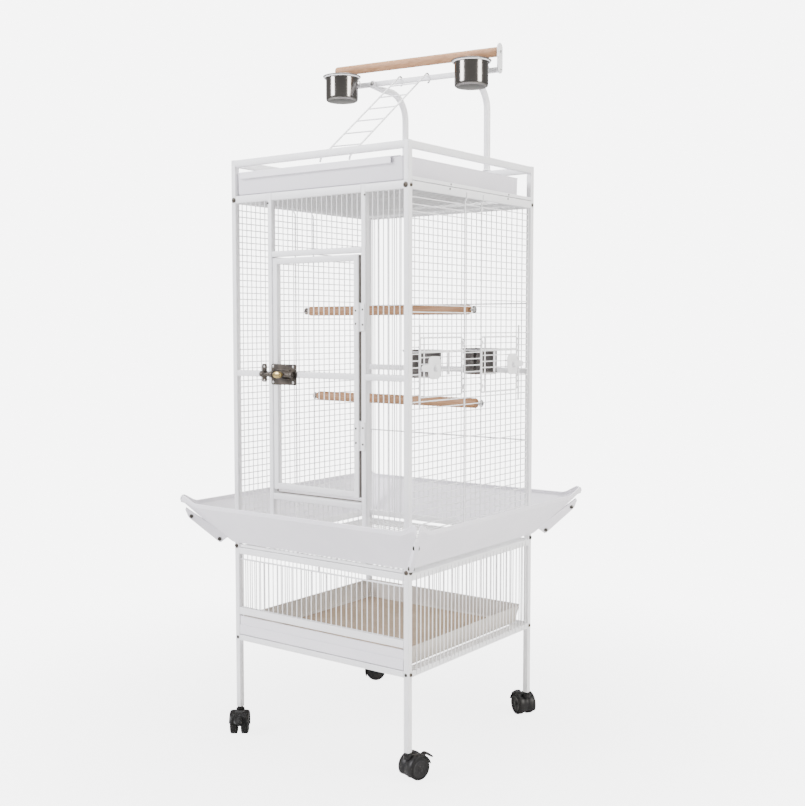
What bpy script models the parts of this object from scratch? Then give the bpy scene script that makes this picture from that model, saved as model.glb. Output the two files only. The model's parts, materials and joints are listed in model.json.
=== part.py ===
"""Bird cage on a rolling stand, with a slide-out play tray, perch and ladder on its roof.

Metres, +Z up. The origin is on the floor under the middle of the cage. The main door faces -Y, and the
two feeder doors are in the +X side. Every object is one physical piece, or one flat part of a welded panel.
"""

import math

import bmesh
import bpy
from mathutils import Matrix, Vector

# Driving sizes ------------------------------------------------------------------------------------
GAP = 0.0003
SHY = 0.0002
HALF = 0.245
TUBE = 0.013
INNER = HALF - TUBE
PANEL_X = HALF - TUBE / 2
RUNNER = 0.013
WALL = 0.0015
WIRE = 0.0024
PITCH = 0.014
WIRE_STEP = 2

# Levels above the floor
LEG_BOTTOM = 0.058
STAND_LOW_RAIL = (0.213, 0.226)
STAND_MID_RAIL = (0.2735, 0.2895)
STAND_WIRE_RAIL = (0.398, 0.4015)
STAND_TOP_RAIL = (0.412, 0.4265)
LEG_TOP = 0.4355
BODY_BOTTOM = 0.4358
BODY_LOW_RAIL = (0.4368, 0.4515)
DOOR_SILL = (0.547, 0.561)
DOOR_HEAD = (1.077, 1.089)
BODY_MID_RAIL = (0.816, 0.829)
BODY_TOP_RAIL = (1.199, 1.2153)
BODY_TOP = 1.2155
PLAY_FRAME_BOTTOM = 1.2158
PLAY_RAIL = (1.279, 1.294)

# Front: the door hangs between two mullions
MULLION = (0.124, 0.136)
DOOR_X = (-0.122, 0.1165)
DOOR_Z = (0.571, 1.074)
DOOR_Y = (-0.2445, -0.2322)
HINGE_X = 0.1195
HINGE_Y = -0.2482
HINGE_RADIUS = 0.003
DOOR_HINGES = ((0.670, 0.732), (0.916, 0.975))

# Barrel bolt on the door
BOLT_Z = 0.8225
BOLT_Y = -0.2525
BOLT_RADIUS = 0.0045
BOLT_X = (-0.1385, -0.058)
BOLT_PLATE_X = (-0.126, -0.053)
BOLT_PLATE_Z = (0.800, 0.845)
KEEPER_X = (-0.154, -0.140)

# Skirt that throws seed back into the cage
SKIRT_LOW = 0.438
SKIRT_RIM = 0.530
SKIRT_EAR = 0.549
SKIRT_FLARE = 0.081
SKIRT_BEND = 0.035
SHEET = 0.0012

# Feeder doors in the right side: hinge edge, free edge, cup centre, latch pivot, all along Y
FEEDERS = {
    "front": (-0.0410, -0.1990, -0.118, -0.158),
    "back": (0.0300, 0.1840, 0.104, 0.150),
}
FEEDER_Z = (0.7805, 0.9055)
FEEDER_HINGE_X = 0.2435
FEEDER_FRAME = 0.004
FEEDER_SURROUND_Z = (0.772, 0.914)
ROD = 0.003
LATCH_Z = 0.842
LATCH_PLATE = (0.043, 0.047)

# Steel food and water cups, all the same
CUP_RADIUS = 0.038
CUP_RIM_RADIUS = 0.045
CUP_HEIGHT = 0.058
CUP_FLANGE = 0.0012
CAGE_CUP_X = 0.190
CAGE_CUP_RIM = 0.877
RING_RADII = (0.0395, 0.0430)
RING_HEIGHT = 0.003

# Play stand on the roof, turned a little about Z
PLAY_YAW = math.atan2(0.139, 0.990)
BAR_CENTRE = Vector((0.0, 0.132, 1.506))
BAR_SIZE = 0.011
BAR_REACH = (-0.2165, 0.207)
PLAY_LEG_X = 0.120
PLAY_LEG_RADIUS = 0.008
PLAY_LEG_BEND = 0.062
PLAY_PERCH_Z = 1.546
PLAY_CUP_RIM = 1.518
PLAY_CUP_REACH = 0.060
PLAY_CUPS = {"left": -0.177, "right": 0.162}
PERCH_RADIUS = 0.011
LADDER_BAR_POSITIONS = (-0.0515, 0.0205)
LADDER_LENGTH = 0.420
LADDER_DROP = math.radians(34.2)
LADDER_WIRE = 0.002
LADDER_HOOK = 0.0105
LADDER_RUNGS = 6
LADDER_RUNG_FIRST = 0.052
LADDER_RUNG_PITCH = 0.062

# Casters: which way each one trails, in degrees about Z from +X
CASTERS = {
    "front_right": (1, -1, 73.0),
    "front_left": (-1, -1, -52.0),
    "back_right": (1, 1, 149.0),
    "back_left": (-1, 1, 35.0),
}
CASTER_TRAIL = 0.018
WHEEL_RADIUS = 0.0245
WHEEL_OUT = 0.0205
WHEEL_IN = 0.0045
HOOD_RADII = (0.0258, 0.0285)
WEB_HALF = 0.0035
AXLE_RADIUS = 0.0035


# Materials ----------------------------------------------------------------------------------------
def make_material(name, colour, roughness, metallic=0.0):
    material = bpy.data.materials.new(name)
    material.use_nodes = True
    shader = material.node_tree.nodes["Principled BSDF"]
    shader.inputs["Base Color"].default_value = (*colour, 1.0)
    shader.inputs["Roughness"].default_value = roughness
    shader.inputs["Metallic"].default_value = metallic
    material.diffuse_color = (*colour, 1.0)
    return material


FINISHES = {
    "powder_coat": ((0.88, 0.88, 0.90), 0.42, 0.0),
    "tray_coat": ((0.72, 0.64, 0.55), 0.5, 0.0),
    "steel": ((0.72, 0.72, 0.73), 0.18, 1.0),
    "wood": ((0.62, 0.44, 0.30), 0.65, 0.0),
    "bronze": ((0.16, 0.12, 0.09), 0.4, 1.0),
    "brass": ((0.72, 0.55, 0.28), 0.3, 1.0),
    "black_plastic": ((0.03, 0.03, 0.03), 0.45, 0.0),
}


# Shapes -------------------------------------------------------------------------------------------
class Shape:
    """Closed shells in world space. Overlapping shells are united when the piece is made."""

    def __init__(self, finish):
        self.finish = finish
        self.shells = []

    def add(self, points, faces):
        self.shells.append(([Vector(p) for p in points], faces))
        return self

    def box(self, low, high, turn=None):
        corners = [(x, y, z) for x in (low[0], high[0]) for y in (low[1], high[1]) for z in (low[2], high[2])]
        points = [turn @ Vector(c) for c in corners] if turn else corners
        faces = [(0, 1, 3, 2), (4, 6, 7, 5), (0, 4, 5, 1), (2, 3, 7, 6), (0, 2, 6, 4), (1, 5, 7, 3)]
        return self.add(points, faces)

    def tray(self, low, high, wall):
        """A box open at the top, with walls and a floor of one thickness."""
        outer = [(x, y, z) for z in (low[2], high[2]) for x, y in rectangle(low, high, 0)]
        inner = [(x, y, z) for z in (low[2] + wall, high[2]) for x, y in rectangle(low, high, wall)]
        faces = [(3, 2, 1, 0), (8, 9, 10, 11)]
        for i in range(4):
            j = (i + 1) % 4
            faces.append((i, j, 4 + j, 4 + i))
            faces.append((8 + j, 8 + i, 12 + i, 12 + j))
            faces.append((4 + i, 4 + j, 12 + j, 12 + i))
        return self.add(outer + inner, faces)

    def sweep(self, path, radius, sides=8):
        """A round bar along a path of points."""
        path = [Vector(p) for p in path]
        ahead = (path[1] - path[0]).normalized()
        across = ahead.orthogonal().normalized()
        points = []
        for i, centre in enumerate(path):
            before = path[max(i - 1, 0)]
            after = path[min(i + 1, len(path) - 1)]
            along = (after - before).normalized()
            across = (across - along * across.dot(along)).normalized()
            up = along.cross(across)
            for k in range(sides):
                angle = math.tau * (k + 0.5) / sides
                points.append(centre + radius * (math.cos(angle) * across + math.sin(angle) * up))
        return self.add(points, tube_faces(len(path), sides))

    def lathe(self, profile, centre, sides=20, axis=(0, 0, 1)):
        """A closed outline of (radius, height) points turned about an axis through centre."""
        turn = Vector((0, 0, 1)).rotation_difference(Vector(axis)).to_matrix()
        points = []
        rings = []
        for radius, height in profile:
            count = sides if radius > 0 else 1
            rings.append(list(range(len(points), len(points) + count)))
            for k in range(count):
                angle = math.tau * k / sides
                place = Vector((radius * math.cos(angle), radius * math.sin(angle), height))
                points.append(Vector(centre) + turn @ place)
        if profile[0][0] > 0:
            rings.append(rings[0])
        faces = []
        for low, high in zip(rings, rings[1:]):
            for k in range(sides):
                n = (k + 1) % sides
                corners = [low[k % len(low)], low[n % len(low)], high[n % len(high)], high[k % len(high)]]
                faces.append(tuple(dict.fromkeys(corners)))
        return self.add(points, faces)

    def prism(self, outline, start, end, place):
        """An outline of (a, b) points drawn out from start to end; place(a, b, c) gives each point."""
        count = len(outline)
        points = [place(a, b, c) for c in (start, end) for a, b in outline]
        faces = [tuple(range(count)), tuple(range(2 * count - 1, count - 1, -1))]
        faces += [(i, (i + 1) % count, count + (i + 1) % count, count + i) for i in range(count)]
        return self.add(points, faces)

    def mesh(self, shells):
        bm = bmesh.new()
        for points, faces in shells:
            shell = bmesh.new()
            corners = [shell.verts.new(p) for p in points]
            for face in faces:
                shell.faces.new([corners[i] for i in face])
            bmesh.ops.recalc_face_normals(shell, faces=shell.faces)
            part = bpy.data.meshes.new("shell")
            shell.to_mesh(part)
            shell.free()
            bm.from_mesh(part)
            bpy.data.meshes.remove(part)
        result = bpy.data.meshes.new("piece")
        bm.to_mesh(result)
        bm.free()
        return result

    def make(self, name, origin=(0, 0, 0), parent=None, round_piece=False):
        mesh = self.mesh(self.shells[:1])
        if len(self.shells) > 1:
            mesh = united(mesh, self.mesh(self.shells[1:]))
        mesh.name = name
        mesh.transform(Matrix.Translation(-Vector(origin)))
        if round_piece:
            mesh.shade_smooth()
            mesh.set_sharp_from_angle(angle=math.radians(35))
        mesh.materials.append(MATERIALS[self.finish])
        piece = bpy.data.objects.new(name, mesh)
        bpy.context.collection.objects.link(piece)
        piece.location = origin
        if parent:
            bpy.context.view_layer.update()
            piece.parent = parent
            piece.location = Vector(origin) - parent.matrix_world.translation
        return piece


def united(first, rest):
    """The exact Boolean union of two meshes, whose own shells may overlap too."""
    base = bpy.data.objects.new("base", first)
    tool = bpy.data.objects.new("tool", rest)
    for helper in (base, tool):
        bpy.context.collection.objects.link(helper)
    boolean = base.modifiers.new("unite", "BOOLEAN")
    boolean.operation = "UNION"
    boolean.solver = "EXACT"
    boolean.use_self = True
    boolean.object = tool
    bpy.context.view_layer.update()
    result = bpy.data.meshes.new_from_object(base.evaluated_get(bpy.context.evaluated_depsgraph_get()))
    for helper in (base, tool):
        bpy.data.objects.remove(helper)
    bm = bmesh.new()
    bm.from_mesh(result)
    bmesh.ops.remove_doubles(bm, verts=bm.verts, dist=1e-6)
    bmesh.ops.dissolve_limit(bm, angle_limit=math.radians(0.2), verts=bm.verts, edges=bm.edges)
    bm.to_mesh(result)
    bm.free()
    return result


def rectangle(low, high, inset):
    x0, y0, x1, y1 = low[0] + inset, low[1] + inset, high[0] - inset, high[1] - inset
    return [(x0, y0), (x1, y0), (x1, y1), (x0, y1)]


def tube_faces(rings, sides):
    faces = [tuple(range(sides)), tuple(range(rings * sides - 1, (rings - 1) * sides - 1, -1))]
    for i in range(rings - 1):
        for k in range(sides):
            n = (k + 1) % sides
            faces.append((i * sides + k, i * sides + n, (i + 1) * sides + n, (i + 1) * sides + k))
    return faces


def wire_places(low, high):
    """Centres of the wires between low and high, evenly spaced at about WIRE_STEP pitches."""
    count = max(1, round((high - low) / (PITCH * WIRE_STEP)) - 1)
    return [low + (high - low) * (i + 1) / (count + 1) for i in range(count)]


def front_bar(shape, sign, xs, zs, thin=SHY):
    """A bar in the plane of the front (sign -1) or back (sign 1) tubes."""
    ys = sorted((sign * (INNER + thin), sign * (HALF - thin)))
    shape.box((xs[0], ys[0], zs[0]), (xs[1], ys[1], zs[1]))


def side_bar(shape, sign, ys, zs, thin=SHY):
    """A bar in the plane of the left (sign -1) or right (sign 1) tubes."""
    xs = sorted((sign * (INNER + thin), sign * (HALF - thin)))
    shape.box((xs[0], ys[0], zs[0]), (xs[1], ys[1], zs[1]))


def front_wires(shape, sign, xs, zs):
    """Upright wires between two rails of a front or back panel."""
    bite = TUBE / 3
    for x in wire_places(*xs):
        low = (x - WIRE / 2, sign * PANEL_X - WIRE / 2, zs[0] - bite)
        shape.box(low, (x + WIRE / 2, sign * PANEL_X + WIRE / 2, zs[1] + bite))


def side_wires(shape, sign, ys, zs):
    """Upright wires between two rails of a side panel of the stand."""
    bite = TUBE / 3
    for y in wire_places(*ys):
        low = (sign * PANEL_X - WIRE / 2, y - WIRE / 2, zs[0] - bite)
        shape.box(low, (sign * PANEL_X + WIRE / 2, y + WIRE / 2, zs[1] + bite))


def level_wires(shape, sign, ys, zs, bite):
    """Level wires between two uprights of a side panel of the cage."""
    for z in wire_places(*zs):
        low = (sign * PANEL_X - WIRE / 2, ys[0] - bite, z - WIRE / 2)
        shape.box(low, (sign * PANEL_X + WIRE / 2, ys[1] + bite, z + WIRE / 2))


# Stand --------------------------------------------------------------------------------------------
def build_stand():
    span = (-INNER + GAP, INNER - GAP)
    for name, (side, face, _) in CASTERS.items():
        xs = sorted((side * INNER, side * HALF))
        ys = sorted((face * INNER, face * HALF))
        Shape("powder_coat").box((xs[0], ys[0], LEG_BOTTOM), (xs[1], ys[1], LEG_TOP)).make("leg_" + name)
    for name, side in (("stand_panel_left", -1), ("stand_panel_right", 1)):
        panel = Shape("powder_coat")
        for rail in (STAND_LOW_RAIL, STAND_TOP_RAIL):
            side_bar(panel, side, span, rail)
        xs = sorted((side * (INNER - RUNNER), side * (INNER + 0.003)))
        low = (xs[0], span[0] + SHY, STAND_TOP_RAIL[1] - 0.0025)
        panel.box(low, (xs[1], span[1] - SHY, STAND_TOP_RAIL[1] - GAP))
        side_wires(panel, side, span, (STAND_LOW_RAIL[1], STAND_TOP_RAIL[0]))
        panel.make(name)
    back = Shape("powder_coat")
    front_bar(back, 1, span, STAND_LOW_RAIL)
    front_bar(back, 1, span, STAND_TOP_RAIL)
    front_wires(back, 1, span, (STAND_LOW_RAIL[1], STAND_TOP_RAIL[0]))
    back.make("stand_panel_back")
    front = Shape("powder_coat")
    front_bar(front, -1, span, STAND_TOP_RAIL)
    front_bar(front, -1, span, STAND_MID_RAIL)
    front_bar(front, -1, span, STAND_WIRE_RAIL, 0.0045)
    front_wires(front, -1, span, (STAND_MID_RAIL[1], STAND_WIRE_RAIL[0] - 0.003))
    for x in (-0.226, 0.0, 0.226):
        low = (x - 0.0015, -PANEL_X - 0.0015, STAND_WIRE_RAIL[0] + 0.0005)
        front.box(low, (x + 0.0015, -PANEL_X + 0.0015, STAND_TOP_RAIL[0] + 0.002))
    front.make("stand_panel_front")
    sill = Shape("powder_coat")
    front_bar(sill, -1, span, STAND_LOW_RAIL)
    for side in (-1, 1):
        xs = sorted((side * (INNER - RUNNER), side * (INNER - GAP - SHY)))
        low = (xs[0], -INNER - 0.003, STAND_LOW_RAIL[1] - 0.0025)
        sill.box(low, (xs[1], INNER - GAP, STAND_LOW_RAIL[1] - SHY))
    sill.make("stand_rail_front")


def build_dropping_tray():
    tray = Shape("tray_coat")
    tray.tray((-0.2305, -0.2425, 0.2263), (0.2305, 0.2295, 0.2720), WALL)
    tray.box((-0.2310, -0.2452, 0.2265), (0.2310, -0.2418, 0.2490))
    tray.box((-0.2310, -0.2445, 0.2695), (0.2310, -0.2416, 0.2723))
    tray.make("dropping_tray", (0, -0.2425, 0.2263))


def build_floor_grate():
    grate = Shape("powder_coat")
    zs = (0.4270, 0.4350)
    grate.box((-0.2312, -0.2450, zs[0]), (0.2312, -0.2400, zs[1]))
    for x in (-0.2280, 0.2280):
        grate.box((x - 0.0025, -0.2430, zs[0] + 0.001), (x + 0.0025, 0.2290, zs[1] - 0.002))
    grate.box((-0.2300, 0.2260, zs[0] + 0.0005), (0.2300, 0.2300, zs[1] - 0.0025))
    for x in wire_places(-0.2280, 0.2280):
        low = (x - WIRE / 2, -0.2420, zs[0] + 0.0015)
        grate.box(low, (x + WIRE / 2, 0.2280, zs[0] + 0.0015 + WIRE))
    grate.make("floor_grate", (0, -0.2425, zs[0]))


def build_casters():
    for name, (side, face, heading) in CASTERS.items():
        stem = Vector((side * PANEL_X, face * PANEL_X, 0))
        turn = Matrix.Translation(stem) @ Matrix.Rotation(math.radians(heading), 4, "Z")
        build_caster(name, turn)


def arc(radius, start, stop, steps):
    """Points on an arc round the axle, from start to stop degrees, in the caster's own X and Z."""
    angles = [math.radians(start + (stop - start) * i / steps) for i in range(steps + 1)]
    return [(CASTER_TRAIL + radius * math.cos(a), WHEEL_RADIUS + radius * math.sin(a)) for a in angles]


def build_caster(name, turn):
    """The caster's own frame: X the way it trails, Y along its axle, Z up, with the stem on the Z axis."""
    axle = turn @ Vector((CASTER_TRAIL, 0, WHEEL_RADIUS))
    along = turn.to_3x3() @ Vector((0, 1, 0))

    def place(a, b, c):
        return turn @ Vector((a, c, b))

    housing = Shape("black_plastic")
    outer = arc(HOOD_RADII[1], 20, 205, 8)
    inner = arc(HOOD_RADII[0], 205, 20, 8)
    housing.prism(outer + inner, -WHEEL_OUT, WHEEL_OUT, place)
    bore = arc(AXLE_RADIUS + 0.0007, 268, -88, 8)
    web = arc(HOOD_RADII[1] - 0.001, 30, 200, 6) + arc(0.009, 215, 262, 1) + bore + arc(0.009, 278, 400, 2)
    housing.prism(web, -WEB_HALF, WEB_HALF, place)
    socket = [(0, 0.0493), (0.0095, 0.0493), (0.0095, 0.0535), (0.0055, 0.0545), (0.0055, LEG_BOTTOM - GAP)]
    housing.lathe(socket + [(0, LEG_BOTTOM - GAP)], turn @ Vector((0, 0, 0)), 10)
    swivel = housing.make("caster_housing_" + name, turn @ Vector((0, 0, 0.050)), round_piece=True)

    rounding = 0.004
    outline = [(0, -WHEEL_OUT), (WHEEL_RADIUS - rounding, -WHEEL_OUT)]
    outline += [(WHEEL_RADIUS, -WHEEL_OUT + rounding), (WHEEL_RADIUS, -WHEEL_IN)]
    outline += [(AXLE_RADIUS, -WHEEL_IN)]
    outline += [(radius, -height) for radius, height in reversed(outline)]
    wheel = Shape("black_plastic").lathe(outline, axle, 16, along)
    wheel.make("caster_wheel_" + name, axle, swivel, round_piece=True)

    lever = Shape("black_plastic")
    profile = [(0.0420, 0.0440), (0.0590, 0.0330), (0.0620, 0.0350), (0.0600, 0.0385), (0.0450, 0.0480)]
    lever.prism(profile, -0.010, 0.010, place)
    lever.make("caster_brake_" + name, turn @ Vector((0.0435, 0, 0.0460)), swivel)


# Skirt --------------------------------------------------------------------------------------------
def build_skirt():
    """Four sloping sheets, each with its ends bent up to meet the next one at a raised ear."""
    for name, turns in (("skirt_front", 0), ("skirt_right", 1), ("skirt_back", 2), ("skirt_left", 3)):
        turn = Matrix.Rotation(turns * math.pi / 2, 4, "Z")
        foot = HALF + SHEET
        rim = HALF + SKIRT_FLARE
        miss = 0.0016
        points = []
        for side in (-1, 1):
            points.append((side * (foot - miss), -foot, SKIRT_LOW))
            points.append((side * (rim - SKIRT_BEND), -rim, SKIRT_RIM))
            points.append((side * (rim - miss), -rim, SKIRT_EAR))
        bm = bmesh.new()
        corners = [bm.verts.new(turn @ Vector(p)) for p in points]
        for face in ((0, 3, 4, 1), (0, 1, 2), (3, 5, 4)):
            bm.faces.new([corners[i] for i in face])
        mesh = bpy.data.meshes.new(name)
        bm.to_mesh(mesh)
        bm.free()
        mesh.materials.append(MATERIALS["powder_coat"])
        sheet = bpy.data.objects.new(name, mesh)
        bpy.context.collection.objects.link(sheet)
        thick = sheet.modifiers.new("thickness", "SOLIDIFY")
        thick.thickness = SHEET
        thick.offset = 0
        thick.use_even_offset = True


# Cage ---------------------------------------------------------------------------------------------
def post(shape, side, face, low=BODY_BOTTOM, high=BODY_TOP):
    xs = sorted((side * INNER, side * HALF))
    ys = sorted((face * INNER, face * HALF))
    shape.box((xs[0], ys[0], low), (xs[1], ys[1], high))


def build_cage_sides():
    bite = 0.004
    left = Shape("powder_coat")
    for face in (-1, 1):
        post(left, -1, face)
    for rail in (BODY_LOW_RAIL, BODY_TOP_RAIL):
        side_bar(left, -1, (-INNER - bite, INNER + bite), rail)
    level_wires(left, -1, (-INNER, INNER), (BODY_LOW_RAIL[1], BODY_TOP_RAIL[0]), bite)
    left.make("left_panel")
    end = INNER - GAP
    parts = {
        "right_panel_lower": (BODY_LOW_RAIL, (BODY_LOW_RAIL[1] - 0.004, FEEDER_SURROUND_Z[0] + ROD)),
        "right_panel_upper": (BODY_TOP_RAIL, (FEEDER_SURROUND_Z[1] - ROD, BODY_TOP_RAIL[0] + 0.004)),
    }
    for name, (rail, zs) in parts.items():
        panel = Shape("powder_coat")
        side_bar(panel, 1, (-end, end), rail)
        for y in (-end, end - ROD):
            panel.box((PANEL_X - ROD / 2, y + SHY, zs[0]), (PANEL_X + ROD / 2, y + ROD - SHY, zs[1]))
        free_end = zs[1] - ROD if rail is BODY_LOW_RAIL else zs[0]
        low = (PANEL_X - ROD / 2 + SHY, -end + 0.001, free_end + SHY)
        panel.box(low, (PANEL_X + ROD / 2 - SHY, end - 0.001, free_end + ROD - SHY))
        level_wires(panel, 1, (-end + ROD, end - ROD), zs, 0.001)
        panel.make(name)
    build_feeder_surround(end)


def build_feeder_surround(end):
    """The three flat parts of the right side beside and between the two feeder doors."""
    zs = (FEEDER_SURROUND_Z[0] + ROD + GAP, FEEDER_SURROUND_Z[1] - ROD - GAP)
    edges = [-end, end]
    for hinge, free, _, _ in FEEDERS.values():
        outward = math.copysign(1, free)
        edges.append(free + outward * 0.0015)
        edges.append(hinge - outward * 0.0015)
    edges.sort()
    for name, first, last in zip(("front", "centre", "back"), edges[::2], edges[1::2]):
        panel = Shape("powder_coat")
        for y in (first, last - ROD):
            panel.box((PANEL_X - ROD / 2, y, zs[0]), (PANEL_X + ROD / 2, y + ROD, zs[1]))
        for z in (zs[0] + SHY, zs[1] - ROD - SHY):
            low = (PANEL_X - ROD / 2 + SHY, first + 0.001, z)
            panel.box(low, (PANEL_X + ROD / 2 - SHY, last - 0.001, z + ROD))
        level_wires(panel, 1, (first + ROD, last - ROD), (zs[0] + ROD, zs[1] - ROD), 0.001)
        panel.make("right_panel_" + name)


def build_cage_back():
    back = Shape("powder_coat")
    post(back, 1, 1)
    xs = (-INNER + GAP, INNER + 0.004)
    for rail in (BODY_LOW_RAIL, BODY_MID_RAIL, BODY_TOP_RAIL):
        front_bar(back, 1, xs, rail)
    front_wires(back, 1, (-INNER, INNER), (BODY_LOW_RAIL[1], BODY_MID_RAIL[0]))
    front_wires(back, 1, (-INNER, INNER), (BODY_MID_RAIL[1], BODY_TOP_RAIL[0]))
    back.make("back_panel")


def build_cage_front():
    front_left = Shape("powder_coat")
    front_bar(front_left, -1, (-MULLION[1], -MULLION[0]), (BODY_BOTTOM, BODY_TOP), 0)
    front_right = Shape("powder_coat")
    post(front_right, 1, -1)
    front_bar(front_right, -1, MULLION, (BODY_BOTTOM, BODY_TOP), 0)
    for rail in (BODY_LOW_RAIL, BODY_MID_RAIL, BODY_TOP_RAIL):
        front_bar(front_left, -1, (-INNER + GAP, -MULLION[0] - 0.004), rail)
        front_bar(front_right, -1, (MULLION[0] + 0.004, INNER + 0.004), rail)
    for zs in ((BODY_LOW_RAIL[1], BODY_MID_RAIL[0]), (BODY_MID_RAIL[1], BODY_TOP_RAIL[0])):
        front_wires(front_left, -1, (-INNER, -MULLION[1]), zs)
        front_wires(front_right, -1, (MULLION[1], INNER), zs)
    for low, high in DOOR_HINGES:
        front_right.sweep([(HINGE_X, HINGE_Y, low), (HINGE_X, HINGE_Y, high)], HINGE_RADIUS, 10)
        front_right.box((HINGE_X, -0.2472, low + 0.001), (0.1340, -0.2440, high - 0.001))
    front_left.make("front_panel_left")
    front_right.make("front_panel_right")
    span = (-MULLION[0] + GAP, MULLION[0] - GAP)
    for name, low, high in (
        ("front_panel_top", DOOR_HEAD, BODY_TOP_RAIL),
        ("front_panel_bottom", BODY_LOW_RAIL, DOOR_SILL),
    ):
        panel = Shape("powder_coat")
        front_bar(panel, -1, span, low)
        front_bar(panel, -1, span, high)
        front_wires(panel, -1, span, (low[1], high[0]))
        panel.make(name)


def build_roof():
    """Roof wires that run front to back between two cross bars, inside the top rails."""
    roof = Shape("powder_coat")
    reach = INNER - GAP
    zs = (1.2010, 1.2060)
    for y in (-reach, reach - 0.005):
        roof.box((-reach, y, zs[0]), (reach, y + 0.005, zs[1]))
    for x in wire_places(-reach, reach):
        low = (x - WIRE / 2, -reach + 0.003, zs[0] + 0.0012)
        roof.box(low, (x + WIRE / 2, reach - 0.003, zs[0] + 0.0012 + WIRE))
    roof.make("roof_grille")


def build_perches():
    for name, y, z in (("perch_upper", 0.0, 0.963), ("perch_lower", 0.030, 0.758)):
        reach = INNER - 0.002
        ends = [(0, -reach), (0.007, -reach), (PERCH_RADIUS, -reach + 0.004)]
        outline = ends + [(radius, -height) for radius, height in reversed(ends)]
        Shape("wood").lathe(outline, (0, y, z), 16, (1, 0, 0)).make(name, (0, y, z), round_piece=True)


# Main door ----------------------------------------------------------------------------------------
def build_main_door():
    axis = (HINGE_X, HINGE_Y, 0.8225)
    door = Shape("powder_coat")
    y0, y1 = DOOR_Y
    for x in (DOOR_X[0], DOOR_X[1] - TUBE):
        door.box((x, y0, DOOR_Z[0]), (x + TUBE, y1, DOOR_Z[1]))
    inside = (DOOR_X[0] + TUBE, DOOR_X[1] - TUBE)
    rails = ((DOOR_Z[0] + SHY, DOOR_Z[0] + TUBE), BODY_MID_RAIL, (DOOR_Z[1] - TUBE, DOOR_Z[1] - SHY))
    for low, high in rails:
        door.box((inside[0] - 0.004, y0 + SHY, low), (inside[1] + 0.004, y1 - SHY, high))
    for low, high in ((rails[0][1], rails[1][0]), (rails[1][1], rails[2][0])):
        front_wires(door, -1, inside, (low, high))
    for low, high in DOOR_HINGES:
        door.box((0.1060, -0.2464, low + 0.004), (0.1161, y0 + 0.001, high - 0.004))
    door = door.make("main_door", axis)
    build_bolt(door)


def bridge(shape, xs, z, y_front, y_back):
    """A strap bent over the bolt, with room for it to slide."""
    room = BOLT_RADIUS + 0.0008
    strap = 0.0018
    for low in (z - room - strap, z + room):
        shape.box((xs[0], y_front, low), (xs[1], y_back, low + strap))
    low = (xs[0] + SHY, y_front + SHY, z - room - strap / 2)
    shape.box(low, (xs[1] - SHY, y_front + strap, z + room + strap / 2))


def build_bolt(door):
    front = BOLT_Y - BOLT_RADIUS - 0.0008 - 0.0018
    plate = Shape("bronze")
    plate.box((BOLT_PLATE_X[0], -0.2470, BOLT_PLATE_Z[0]), (BOLT_PLATE_X[1], -0.2453, BOLT_PLATE_Z[1]))
    for x in (BOLT_PLATE_X[0] + 0.001, BOLT_PLATE_X[1] - 0.011):
        bridge(plate, (x, x + 0.0045), BOLT_Z, front, -0.2460)
    plate.make("bolt_plate", (HINGE_X, HINGE_Y, BOLT_Z), door)

    bolt = Shape("brass")
    bolt.sweep([(BOLT_X[0], BOLT_Y, BOLT_Z), (BOLT_X[1], BOLT_Y, BOLT_Z)], BOLT_RADIUS, 12)
    knob = [(0.0115 * math.cos(math.tau * k / 12), 0.0075 * math.sin(math.tau * k / 12)) for k in range(12)]
    bolt.prism(knob, -0.2720, -0.2590, lambda a, b, c: (-0.090 + a, c, BOLT_Z + b))
    bolt.box((-0.0925, -0.2600, BOLT_Z - 0.002), (-0.0875, BOLT_Y, BOLT_Z + 0.002))
    bolt.make("door_bolt", (BOLT_X[0], BOLT_Y, BOLT_Z), door, round_piece=True)

    keeper = Shape("bronze")
    keeper.box((KEEPER_X[0], -0.2466, 0.8050), (KEEPER_X[1], -0.2451, 0.8450))
    bridge(keeper, (KEEPER_X[0] + 0.003, KEEPER_X[1] - 0.003), BOLT_Z, front, -0.2460)
    keeper.make("bolt_keeper")


# Feeder doors and cups ----------------------------------------------------------------------------
def build_cup(name, centre, rim, parent):
    wall = 0.0010
    foot = rim - CUP_HEIGHT
    flange = rim - CUP_FLANGE
    outline = [(0, foot), (CUP_RADIUS - 0.004, foot), (CUP_RADIUS, foot + 0.005), (CUP_RADIUS, flange)]
    outline += [(CUP_RIM_RADIUS, flange), (CUP_RIM_RADIUS, rim), (CUP_RADIUS - wall, rim)]
    outline += [(CUP_RADIUS - wall, foot + 0.005), (CUP_RADIUS - 0.005, foot + wall), (0, foot + wall)]
    cup = Shape("steel").lathe(outline, (centre[0], centre[1], 0), 20)
    cup.make(name, (centre[0], centre[1], rim), parent, round_piece=True)


def ring(shape, centre, top):
    low = top - RING_HEIGHT
    outline = [(RING_RADII[0], low), (RING_RADII[1], low), (RING_RADII[1], top), (RING_RADII[0], top)]
    shape.lathe(outline, (centre[0], centre[1], 0), 20)


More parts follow.
